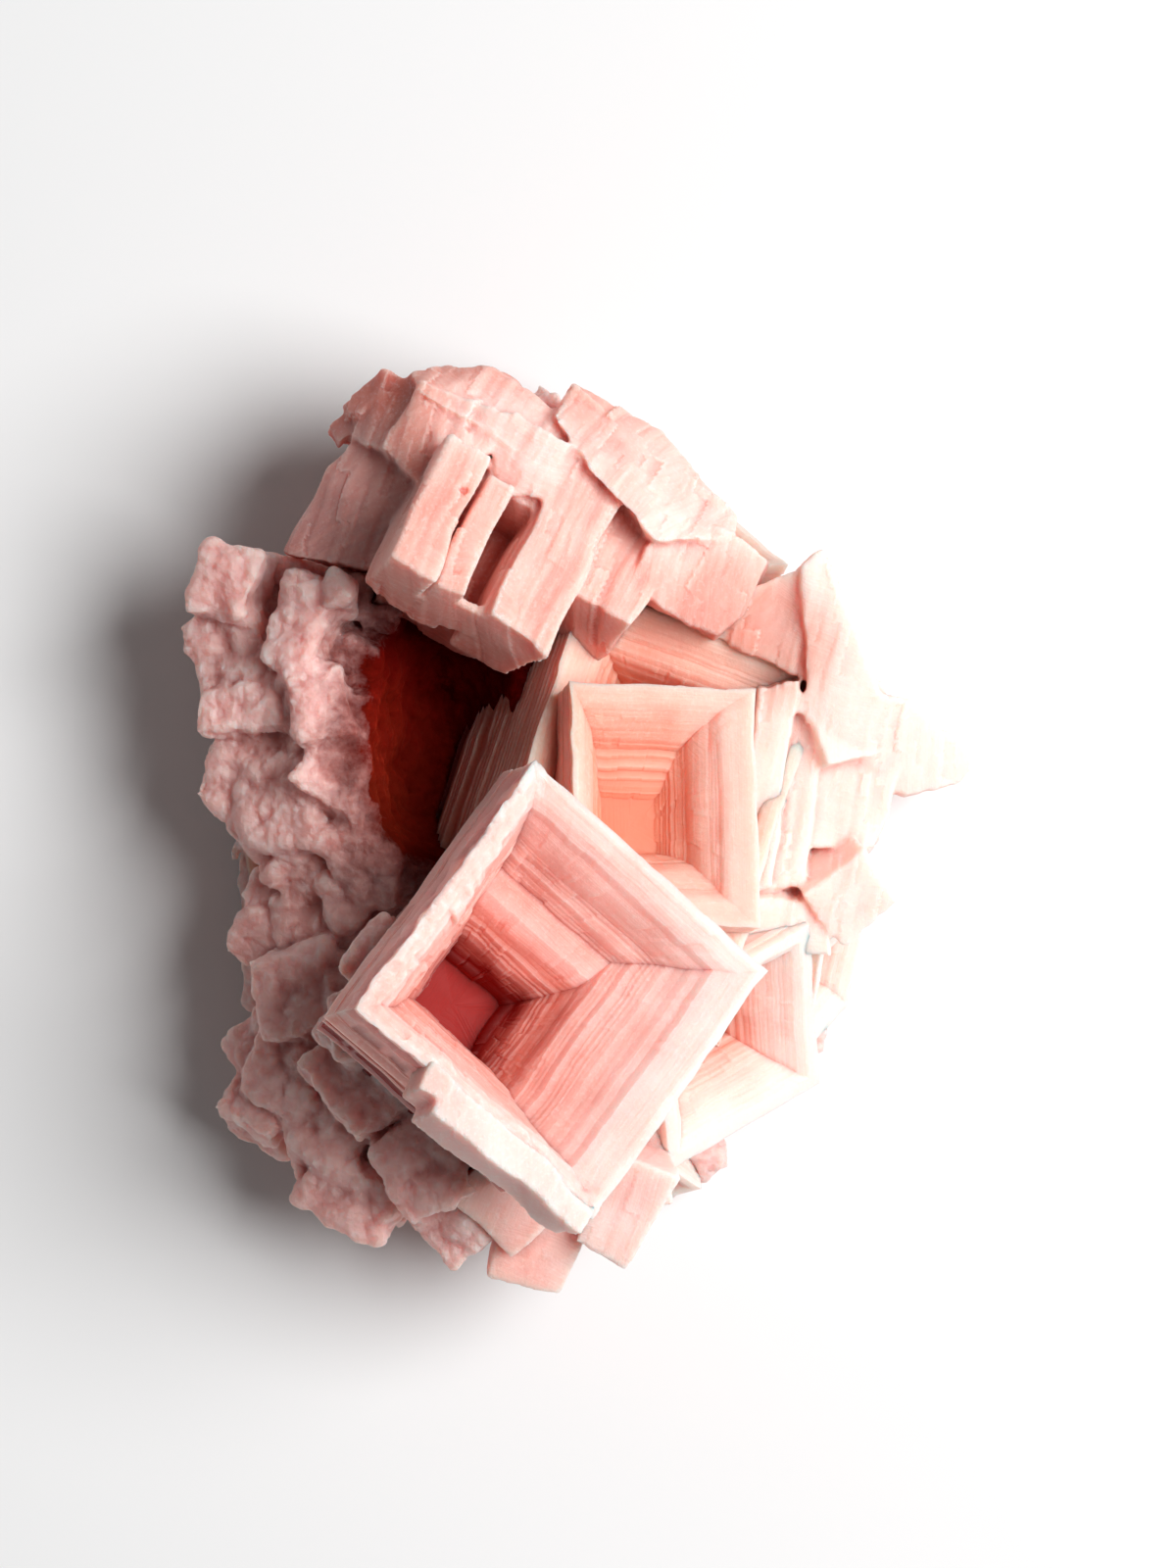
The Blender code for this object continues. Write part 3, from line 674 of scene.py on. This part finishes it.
SHARDS = {
    # each split piece: the corners of its top, and how deep it goes
    "upper_crystal": (
        (((-30.6, 28.3, 28), (-26.5, 36.3, 29), (-22.9, 39.5, 30), (-17.5, 33.6, 33),
          (-20.6, 26.5, 32), (-25.5, 27.3, 30)), 10),
        (((-20.8, 46.4, 30), (-16.5, 44.7, 34), (-20.2, 38.2, 35), (-24.2, 39.9, 30),
          (-23.3, 42.7, 29)), 12),
        (((-24.6, 43.6, 28), (-21.5, 46.0, 29), (-21.0, 44.5, 31), (-24.2, 41.8, 30)), 8),
        (((-26.4, 41.4, 26), (-23.4, 43.5, 28), (-22.6, 42.0, 30), (-25.6, 39.6, 28)), 9),
        (((-16.5, 44.7, 36), (-20.2, 38.2, 36), (-16.3, 34.3, 37.5), (-14.6, 37.2, 38),
          (-10.1, 38.0, 38), (-9.8, 42.0, 37)), 12),
        (((-17.4, 46.2, 33), (-13.8, 46.8, 31), (-9.0, 46.4, 31), (-2.5, 41.6, 32),
          (-1.0, 36.4, 36), (-8.7, 39.0, 38), (-16.0, 43.7, 37)), 14),
        (((-9.9, 41.0, 37.5), (-8.6, 34.0, 38), (-5.0, 33.5, 38.5), (-2.0, 38.6, 37),
          (-7.0, 41.4, 37)), 8),
        (((-1.1, 45.0, 28), (7.9, 40.2, 28), (14.9, 31.8, 28), (14.2, 29.7, 31),
          (6.8, 29.5, 37), (1.1, 36.0, 38), (-2.5, 41.6, 34)), 14),
        (((5.4, 24.5, 34), (6.5, 28.4, 34.5), (12.9, 30.0, 32), (18.3, 26.9, 29),
          (16.0, 22.2, 29), (13.4, 19.7, 30), (8.2, 22.2, 33)), 12),
    ),
    "right_wing": (
        (((13.5, 19.8, 25), (15.8, 23.3, 26), (22.9, 26.2, 28), (23.4, 15.2, 26)), 12),
        (((22.4, 25.8, 28.5), (24.6, 28.0, 28), (25.8, 24.8, 28), (30.2, 13.9, 26.5),
          (23.2, 13.9, 27)), 12),
        (((22.4, 12.0, 26.5), (24.0, 15.0, 27), (30.0, 13.6, 26), (33.5, 12.0, 24),
          (38.9, 9.2, 18.5), (40.2, 6.8, 16), (38.9, 4.9, 16), (33.1, 3.6, 20),
          (28.9, 8.0, 24.5), (24.6, 8.7, 26)), 8),
        (((18.0, 13.5, 27), (22.0, 14.5, 27.5), (19.2, -6.0, 26.5), (15.8, -7.0, 26)), 12),
        (((20.9, 13.0, 25), (25.4, 11.8, 25.5), (22.6, -6.0, 24), (18.2, -6.6, 24)), 12),
        (((25.2, 8.7, 24.5), (32.6, 7.0, 22.0), (30.9, 1.1, 21.5), (30.0, -1.7, 21),
          (23.3, -1.9, 23.5)), 12),
    ),
    "lower_cubes": (),
}
# cuts in the upper crystal, in its own axes: middle and size
SLOT = ((1.35, -3.2, 0.0), (2.7, 12.0, 22.0))
GROOVE = ((-3.45, -3.6, 0.0), (0.7, 16.0, 6.0))
SPECK = ((-5.0, -0.6, 3.4), (0.9, 1.2, 1.6))
GROUP_AXES = {"upper_crystal": upper_place, "right_wing": place_of((28, 5, 24), -11, 20, 0),
              "lower_cubes": place_of((0, -36, 25), -20, 14, 270)}
SPOTS = {
    # places that are frosted or redder: middle, radius, frost and redness
    "upper_crystal": (((-25.0, 33.5, 30.0), 8.5, 0.25, 0.05), ((14.0, 22.0, 31.0), 5.0, 0.0, 0.22),
                      ((-8.0, 41.0, 37.0), 7.0, 0.15, -0.1)),
    "right_wing": (((19.5, 18.5, 26.0), 6.5, 0.0, 0.4),),
    "lower_cubes": (((-7.0, -32.0, 51.0), 12.0, 0.3, 0.0),),
}
SHARD_GROWN = 0.7         # mm, how far the split pieces reach into each other
GROUP_VOXEL = 0.3         # mm
GROUP_ROUNDS = 5          # of smoothing
GROUP_MOST = 150000       # triangles
GROUP_WANDER = (0.484, 5.0)  # mm, how far the flat faces wander and over what distance
GROUP_LINES = (16.0, 22.0)   # mm, the face that the growth lines are laid out on
GROUP_DEPTH = 400.0       # mm to the full painted shade, so that these crystals stay pale
LOOSE_LEAST = 2500        # points, below which a bit that came loose is dropped
STRIPE_DEPTHS = {"upper_crystal": 0.5, "right_wing": 0.45, "lower_cubes": 0.2}   # mm
STRIPE_WIDTHS = (1.9, 0.9)   # mm
STRIPE_BEND = (0.5, 9.0)  # mm, how far a stripe wanders and over what distance
STRIPE_SLANT = 0.35       # how far it shifts across per mm of depth
STRIPE_STEEP = 2.4        # above 1, the step between two stripes is short
STRIPE_LONG = 7.0         # a stripe's length in its own widths
carriers = {"upper": upper_place, "front": front_place}
# its deep and floor colours are painted shade
rosy_salt = rose_halite("rose_halite_upper", "#F9D8CF", "#F1B3A6", "#D98072", "#A83A2A", "#FFF3F0",
                        contrast=0.38)
GROUP_SALT = {"upper_crystal": rosy_salt, "right_wing": pale_lit_salt, "lower_cubes": front_salt}


def beside(place, offset, turn=0.0, lean=0.0, compass=0.0):
    """A place given in another crystal's own axes."""
    return place @ place_of(offset, turn, lean, compass)


def worn_corners(wear, seed):
    """The eight corners of a unit cube, each moved a little: a 2 by 2 by 2 table of points."""
    body = bmesh.new()
    bmesh.ops.create_cube(body, size=1.0)
    chance = random.Random(seed)
    table = np.zeros((2, 2, 2, 3))
    for vertex in body.verts:
        x, y, z = (int(value > 0) for value in vertex.co)
        table[x, y, z] = vertex.co + Vector([chance.uniform(-wear, wear) for _ in range(3)])
    body.free()
    return table


def box_of(place, size, table=None, grown=0.0):
    """A closed box, or one whose eight corners are worn."""
    corners = np.array([(1, 0), (1, 1), (0, 1), (0, 0)])
    points = np.concatenate([np.c_[corners, np.full(4, level)] for level in (0, 1)])
    if table is None:
        points = points - 0.5
    else:
        points = table[points[:, 0], points[:, 1], points[:, 2]]
    points = points * (np.array(size) + 2 * grown)
    sides = [[c, (c + 1) % 4, 4 + (c + 1) % 4, 4 + c] for c in range(4)]
    mesh = bpy.data.meshes.new("box")
    mesh.from_pydata((moved(points, place) * MM).tolist(), [], sides + [[3, 2, 1, 0], [4, 5, 6, 7]])
    return linked("box", mesh)


def shard(top, deep, grown=0.0):
    """A split piece with flat faces: the hull of its top corners and the same corners lower down."""
    points = np.array(top, float)
    outwards = points - points.mean(axis=0)
    points += (SHARD_GROWN + grown) * outwards / np.linalg.norm(outwards, axis=1)[:, None]
    corners = np.concatenate([points + (0.0, 0.0, grown), points - (0.0, 0.0, deep)]) * MM
    body = bmesh.new()
    for point in corners:
        body.verts.new(point)
    hull = bmesh.ops.convex_hull(body, input=body.verts)
    bmesh.ops.delete(body, geom=[v for v in hull["geom_interior"] if v.is_valid], context="VERTS")
    mesh = bpy.data.meshes.new("shard")
    body.to_mesh(mesh)
    body.free()
    return linked("shard", mesh)


def solids_of(name, grown=0.0):
    """The blocks and shards of one group of plain crystals, each as a closed piece."""
    made = [box_of(block_place(carrier, spot), size, worn_corners(wear, seed), grown)
            for carrier, spot, size, wear, seed in GROUPS[name]]
    return made + [shard(top, deep, grown) for top, deep in SHARDS[name]]


def block_place(carrier, spot):
    """A block's place, given in its carrier's own axes if it has one."""
    return place_of(*spot) if carrier is None else beside(carriers[carrier], *spot)


def softened(made, voxel, rounds):
    """One even skin over everything in a mesh, with its edges rounded over a few voxels."""
    remesh = made.modifiers.new("voxels", "REMESH")
    remesh.mode = "VOXEL"
    remesh.voxel_size = voxel * MM
    applied(made)
    smooth = made.modifiers.new("smooth", "SMOOTH")
    smooth.factor = 0.5
    smooth.iterations = rounds
    applied(made)


def drop_loose(made):
    """Drops the loose bits with few points: each point takes the lowest number found among its
    neighbours until no number changes, and points with the same number are one bit."""
    start, end = edge_ends(made.data)
    label = np.arange(len(made.data.vertices))
    while True:
        lower = label.copy()
        np.minimum.at(lower, start, label[end])
        lower = lower[lower]
        if (lower == label).all():
            break
        label = lower
    _, bit, sizes = np.unique(label, return_inverse=True, return_counts=True)
    loose = sizes[bit] < LOOSE_LEAST
    if loose.any():
        body = bmesh.new()
        body.from_mesh(made.data)
        body.verts.ensure_lookup_table()
        bmesh.ops.delete(body, geom=[body.verts[i] for i in np.flatnonzero(loose)], context="VERTS")
        body.to_mesh(made.data)
        body.free()


def thinned(made, most):
    """Fewer triangles where the surface is plain, so that the piece stays under its limit."""
    triangles = 2 * len(made.data.polygons)
    if triangles > most:
        thinner = made.modifiers.new("thinner", "DECIMATE")
        thinner.ratio = most / triangles
        applied(made)


def stripes(local, seed):
    """Growth lines along a crystal: steps in how high each stripe across it stands, where a stripe
    is held over a stretch of its length, so that lines start and stop."""
    total = np.zeros(len(local))
    bent = local + STRIPE_BEND[0] * drift(local, STRIPE_BEND[1], seed)
    for number, width in enumerate(STRIPE_WIDTHS):
        across = (bent[:, 0] + STRIPE_SLANT * bent[:, 2]) / width
        whole = np.floor(across)
        share = np.clip((across - whole - 0.5) * STRIPE_STEEP + 0.5, 0.0, 1.0)
        stretch = np.floor(bent[:, 1] / (STRIPE_LONG * width) + 0.37 * whole)
        key = np.stack([whole, stretch, np.zeros(len(local))], axis=1).astype(np.int64)
        low = hashed(key, seed + number)[:, 0]
        high = hashed(key + np.array([1, 0, 0]), seed + number)[:, 0]
        total += (low + (high - low) * share - 0.5) * width
    return total / sum(STRIPE_WIDTHS)


for number, name in enumerate(GROUPS):
    parts = solids_of(name)
    made = parts[0]
    made.name = name
    carve(made, "UNION", parts[1:])
    cuts = [room_of(*front_room)]
    if name == "upper_crystal":
        cuts += [box_of(beside(upper_place, at), cut) for at, cut in (SLOT, GROOVE, SPECK)]
    if name != "lower_cubes":
        cuts.append(room_of(*inner_room))
    carve(made, "DIFFERENCE", cuts)
    softened(made, GROUP_VOXEL, GROUP_ROUNDS)
    drop_loose(made)
    rest = coordinates(made.data)
    axes = GROUP_AXES[name]
    relief = STRIPE_DEPTHS[name] * stripes(moved(rest, axes.inverted()), 30 + number)
    wander = GROUP_WANDER[0] * drift(rest, GROUP_WANDER[1], number)
    shaped = rest + normals(made.data) * relief[:, None] + wander
    made.data.vertices.foreach_set("co", (shaped * MM).astype(np.float32).ravel())
    made.data.update()
    thinned(made, GROUP_MOST)
    places = coordinates(made.data)
    frost, redder = np.zeros(len(places)), np.zeros(len(places))
    for centre, radius, more_frost, more_red in SPOTS[name]:
        share = np.clip(2.5 - 2.0 * np.linalg.norm(places - centre, axis=1) / radius, 0.0, 1.0)
        frost += more_frost * share
        redder += more_red * share
    finish_crystal(made, axes, GROUP_LINES, GROUP_DEPTH, GROUP_SALT[name], frost, redder)

# The crust
# The mass under the crystals: sugary rock salt of small cubes grown into each other, stained
# orange in its cracks, and painted dark red in the deep hollow as painted shade, where light only
# comes through the salt. Its recesses are painted redder as painted shade and its edges paler as
# painted highlight.
HOLLOW_SHADE_CENTRE = (-14.0, 9.0, 16.0)   # mm, the middle of the deep hollow's painted shade
HOLLOW_SHADE_RADII = (15.5, 22.0, 28.0)
# the deep hollow's dark red: painted shade
HOLLOW_SHADE_RED = "#5C0201"
STAIN_CENTRE = (-24.0, -2.0, 22.0)   # mm, left of and below the hollow
STAIN_RADII = (10.0, 14.1, 20.0)
CRUST_VOXEL = 0.4         # mm
CRUST_ROUNDS = 26         # of smoothing
CRUMB_SIZES = ((4.6, 2.0), (2.1, 0.75), (1.1, 0.4))   # mm across, mm high
CRUST_MOST = 190000       # triangles
GROWN = 0.06              # mm, how much wider than a crystal its seat is cut
SEAT_BELOW = 3.0          # mm, how far a seat goes below its pit's floor
CUT_GROWN = 0.35          # mm, the same for the plain crystals
TAKEN_OUT = (
    # blocks of the solid model that the pieces above stand in for: carrier, place and size
    (None, ((-22.8, 30.6, 31.0), -32, 18, 130), (10.9, 10.4, 12.4)),
    (None, ((-19.6, 41.0, 26.5), 64, 16, 130), (10.9, 7.4, 12.4)),
    (None, ((-14.9, 38.8, 31.5), 62, 12, 90), (10.9, 8.9, 11.4)),
    (None, ((-4.0, 38.5, 26.0), 20, 20, 60), (11.4, 9.9, 13.4)),
    (None, ((33.6, 8.2, 19.0), 45, 50, -90), (11.9, 11.9, 7.4)),
    (None, ((28.0, 2.2, 17.0), -11, 18, 0), (8.2, 13.6, 13.4)),
    (None, ((24.4, 2.6, 19.0), -11, 20, 10), (4.6, 14.6, 13.4)),
    (None, ((28.0, -7.9, 21.6), 40, 24, -30), (8.4, 8.0, 8.4)),
    (None, ((21.1, -10.4, 19.0), -8, 20, -50), (10.8, 6.4, 8.8)),
    (None, ((12.8, 26.4, 27.0), -18.0, 22.0, -60.0), (14.5, 12.5, 12.0)),
    (None, ((24.0, 17.6, 22.0), 24.0, 20.0, 20.0), (15.5, 19.5, 12.0)),
    ("upper", ((0.4, 0.6, -4.2),), (18.6, 22.0, 6.8)),
    ("upper", ((1.0, 2.0, -8.0),), (15.4, 17.4, 10.4)),
    ("upper", ((6.0, 1.4, -6.0), 0.0, 6.0, 0.0), (7.4, 23.9, 13.4)),
    ("front", ((5.4, -16.2, -6.8), 5.0), (21.1, 6.4, 12.8)),
)


def radii_away(tree, where, centre, radii):
    """How far a place is from a centre, in radii: 1 all over an ellipsoid's surface."""
    at = add_node(tree, "ShaderNodeMapping",
                  {"Location": tuple(-c / r for c, r in zip(centre, radii)),
                   "Scale": tuple(1.0 / (MM * r) for r in radii)},
                  {"Vector": where.outputs["Object"]})
    far = add_node(tree, "ShaderNodeVectorMath", {"operation": "LENGTH"}, {0: at.outputs["Vector"]})
    return far.outputs["Value"]


def seat_of(place, edges, body, pit, foot):
    """The space that a hopper fills, pit and all, down to just below its pit's floor."""
    corner = np.array([(1, -1), (1, 1), (-1, 1), (-1, -1)], float)
    half = np.array(edges) / 2
    rings = [(1.0, 1.5)]
    for ledge in range(1, LEDGES + 1):
        depth = min(body * ledge / LEDGES, pit + SEAT_BELOW)
        narrowed = 1.0 - (1.0 - foot) * (ledge - 1) / LEDGES
        rings += [(narrowed, -depth)]
        if depth >= pit + SEAT_BELOW:
            break
        rings += [(1.0 - (1.0 - foot) * ledge / LEDGES, -depth)]
    points = np.concatenate([np.c_[corner * (half * share + GROWN), np.full(4, height)]
                             for share, height in rings])
    count = len(rings)
    sides = [[r * 4 + c, r * 4 + 4 + c, r * 4 + 4 + (c + 1) % 4, r * 4 + (c + 1) % 4]
             for r in range(count - 1) for c in range(4)]
    last = 4 * (count - 1)
    caps = [[0, 1, 2, 3], [last + 3, last + 2, last + 1, last]]
    mesh = bpy.data.meshes.new("seat")
    mesh.from_pydata((moved(points, place) * MM).tolist(), [], sides + caps)
    return linked("seat", mesh)


def crumbs(points, size, seed):
    """Small cubes at random turns in relief: how far a point lies inside the deepest cube near it,
    in cube widths and cut off level, where each cell of a lattice holds one cube off its middle."""
    scaled = points / size
    cell = np.floor(scaled).astype(np.int64)
    best = np.full(len(points), -1.0)
    for step in np.ndindex(3, 3, 3):
        near = cell + np.array(step) - 1
        offset = list((scaled - near - 0.1 - 0.8 * hashed(near, seed)).T)
        turns = (hashed(near, seed + 11) * math.pi / 2).T
        for axis in range(3):
            one, two = offset[(axis + 1) % 3], offset[(axis + 2) % 3]
            cosine, sine = np.cos(turns[axis]), np.sin(turns[axis])
            offset[(axis + 1) % 3] = one * cosine - two * sine
            offset[(axis + 2) % 3] = one * sine + two * cosine
        half = 0.4 + 0.3 * hashed(near, seed + 5)[:, 0]
        best = np.maximum(best, half - np.abs(offset).max(axis=0))
    return np.clip(best, -0.15, 0.3) - 0.1


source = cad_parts["halite_cluster"].data.copy()
merger = bmesh.new()
merger.from_mesh(source)
bmesh.ops.remove_doubles(merger, verts=merger.verts, dist=0.000001)
merger.to_mesh(source)
merger.free()
crust = linked("sugary_crust", source)
seats = [seat_of(front_place, (FRONT_EDGE, FRONT_EDGE), 27.0, 21.0, 0.6)]
for name, (spot, edges, (body, pit, rim, floor, foot), _) in HOPPERS.items():
    seats.append(seat_of(place_of(*spot), edges, body, pit, foot))
for seat in seats:
    carve(crust, "DIFFERENCE", [seat])
for carrier, spot, size in TAKEN_OUT:
    carve(crust, "DIFFERENCE", [box_of(block_place(carrier, spot), size)])
for name in GROUPS:
    for solid in solids_of(name, CUT_GROWN):
        carve(crust, "DIFFERENCE", [solid])
softened(crust, CRUST_VOXEL, CRUST_ROUNDS)
drop_loose(crust)
rest = coordinates(crust.data)
normal = normals(crust.data)
relief = sum(high * crumbs(rest, across, number) for number, (across, high) in
             enumerate(CRUMB_SIZES))
shaped = rest + normal * relief[:, None]
crust.data.vertices.foreach_set("co", (shaped * MM).astype(np.float32).ravel())
crust.data.update()
thinned(crust, CRUST_MOST)
keep_in_box(crust.data)
write_bends(crust.data)

# Rock salt with a skin of tiny cubes: the light scatters in it, so it looks soft and frosted
crust_salt = bpy.data.materials.new("sugary_rock_salt")
crust_salt.use_nodes = True
tree = crust_salt.node_tree
shader = tree.nodes["Principled BSDF"]
shader.inputs["IOR"].default_value = 1.54
shader.inputs["Roughness"].default_value = 0.6
shader.inputs["Subsurface Weight"].default_value = 1.0
shader.inputs["Subsurface Radius"].default_value = (1.0, 0.5, 0.4)
shader.inputs["Subsurface Scale"].default_value = 0.004
where = add_node(tree, "ShaderNodeTexCoord")
# cloudy patches about 5 mm across
clouds = add_node(tree, "ShaderNodeTexNoise", {"Scale": 200.0, "Detail": 8.0, "Roughness": 0.66},
                  {"Vector": where.outputs["Object"]})
salt_ramp = add_node(tree, "ShaderNodeValToRGB", links={0: clouds.outputs["Fac"]})
salt_ramp.color_ramp.elements[0].position = 0.22
salt_ramp.color_ramp.elements[0].color = linear("#DC9890")
salt_ramp.color_ramp.elements[1].position = 0.8
salt_ramp.color_ramp.elements[1].color = linear("#F4D0CB")
# the ragged edge of the hollow's painted shade and of the stain, in patches about 4 mm across
ragged = add_node(tree, "ShaderNodeTexNoise", {"Scale": 260.0, "Detail": 5.0, "Roughness": 0.65},
                  {"Vector": where.outputs["Object"]})
hollow_shade_edge = add_node(tree, "ShaderNodeMath", {"operation": "MULTIPLY_ADD", 1: 0.5},
                       {0: ragged.outputs["Fac"],
                        2: radii_away(tree, where, HOLLOW_SHADE_CENTRE, HOLLOW_SHADE_RADII)})
in_hollow_shade = add_node(tree, "ShaderNodeMapRange",
                     {"From Min": 0.95, "From Max": 1.32, "To Min": 0.997, "To Max": 0.0},
                     {"Value": hollow_shade_edge.outputs[0]})
stain_edge = add_node(tree, "ShaderNodeMath", {"operation": "MULTIPLY_ADD", 1: 1.6},
                      {0: ragged.outputs["Fac"],
                       2: radii_away(tree, where, STAIN_CENTRE, STAIN_RADII)})
stained = add_node(tree, "ShaderNodeMapRange",
                   {"From Min": 1.1, "From Max": 2.5, "To Min": 0.18, "To Max": 0.0},
                   {"Value": stain_edge.outputs[0]})
bends = add_node(tree, "ShaderNodeAttribute", {"attribute_name": "bends"})
bend = add_node(tree, "ShaderNodeSeparateXYZ", links={0: bends.outputs["Vector"]})
# recesses painted redder: painted shade
crease_shade = add_node(tree, "ShaderNodeMath", {"operation": "MULTIPLY", 1: 0.65},
                   {0: bend.outputs["Y"]})
with_crease_shade = add_node(tree, "ShaderNodeMix", {"data_type": "RGBA", 7: linear("#B0554A")},
                     {0: crease_shade.outputs[0], 6: salt_ramp.outputs["Color"]})
# convex edges painted paler: painted highlight
edged = add_node(tree, "ShaderNodeMath", {"operation": "MULTIPLY", 1: 0.15}, {0: bend.outputs["X"]})
with_edge_highlight = add_node(tree, "ShaderNodeMix", {"data_type": "RGBA", 7: linear("#FFF1EC")},
                   {0: edged.outputs[0], 6: with_crease_shade.outputs[2]})
# the deep hollow painted dark red: painted shade
with_hollow_shade = add_node(tree, "ShaderNodeMix", {"data_type": "RGBA", 7: linear(HOLLOW_SHADE_RED)},
                       {0: in_hollow_shade.outputs[0], 6: with_edge_highlight.outputs[2]})
with_stain = add_node(tree, "ShaderNodeMix", {"data_type": "RGBA", 7: linear("#9A3A1E")},
                      {0: stained.outputs[0], 6: with_hollow_shade.outputs[2]})
tree.links.new(with_stain.outputs[2], shader.inputs["Base Color"])
# the hollow has no shine of its own
dull = add_node(tree, "ShaderNodeMapRange", {"To Min": 0.3, "To Max": 0.0},
                {"Value": in_hollow_shade.outputs[0]})
tree.links.new(dull.outputs[0], shader.inputs["Specular IOR Level"])
# grains about 0.5 mm across
grains = add_node(tree, "ShaderNodeTexNoise", {"Scale": 1900.0, "Detail": 3.0, "Roughness": 0.7},
                  {"Vector": where.outputs["Object"]})
# tiny cubes about 1 mm across
sugar = add_node(tree, "ShaderNodeTexVoronoi", {"Scale": 1100.0, "distance": "CHEBYCHEV"},
                 {"Vector": where.outputs["Object"]})
sugared = add_node(tree, "ShaderNodeBump", {"Strength": 0.7, "Distance": 0.0003, "invert": True},
                   {"Height": sugar.outputs["Distance"]})
grained = add_node(tree, "ShaderNodeBump", {"Strength": 0.6, "Distance": 0.0002},
                   {"Height": grains.outputs["Fac"], "Normal": sugared.outputs["Normal"]})
tree.links.new(grained.outputs["Normal"], shader.inputs["Normal"])
crust.data.materials.clear()
crust.data.materials.append(crust_salt)
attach(crust, "root")
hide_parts("halite_cluster")
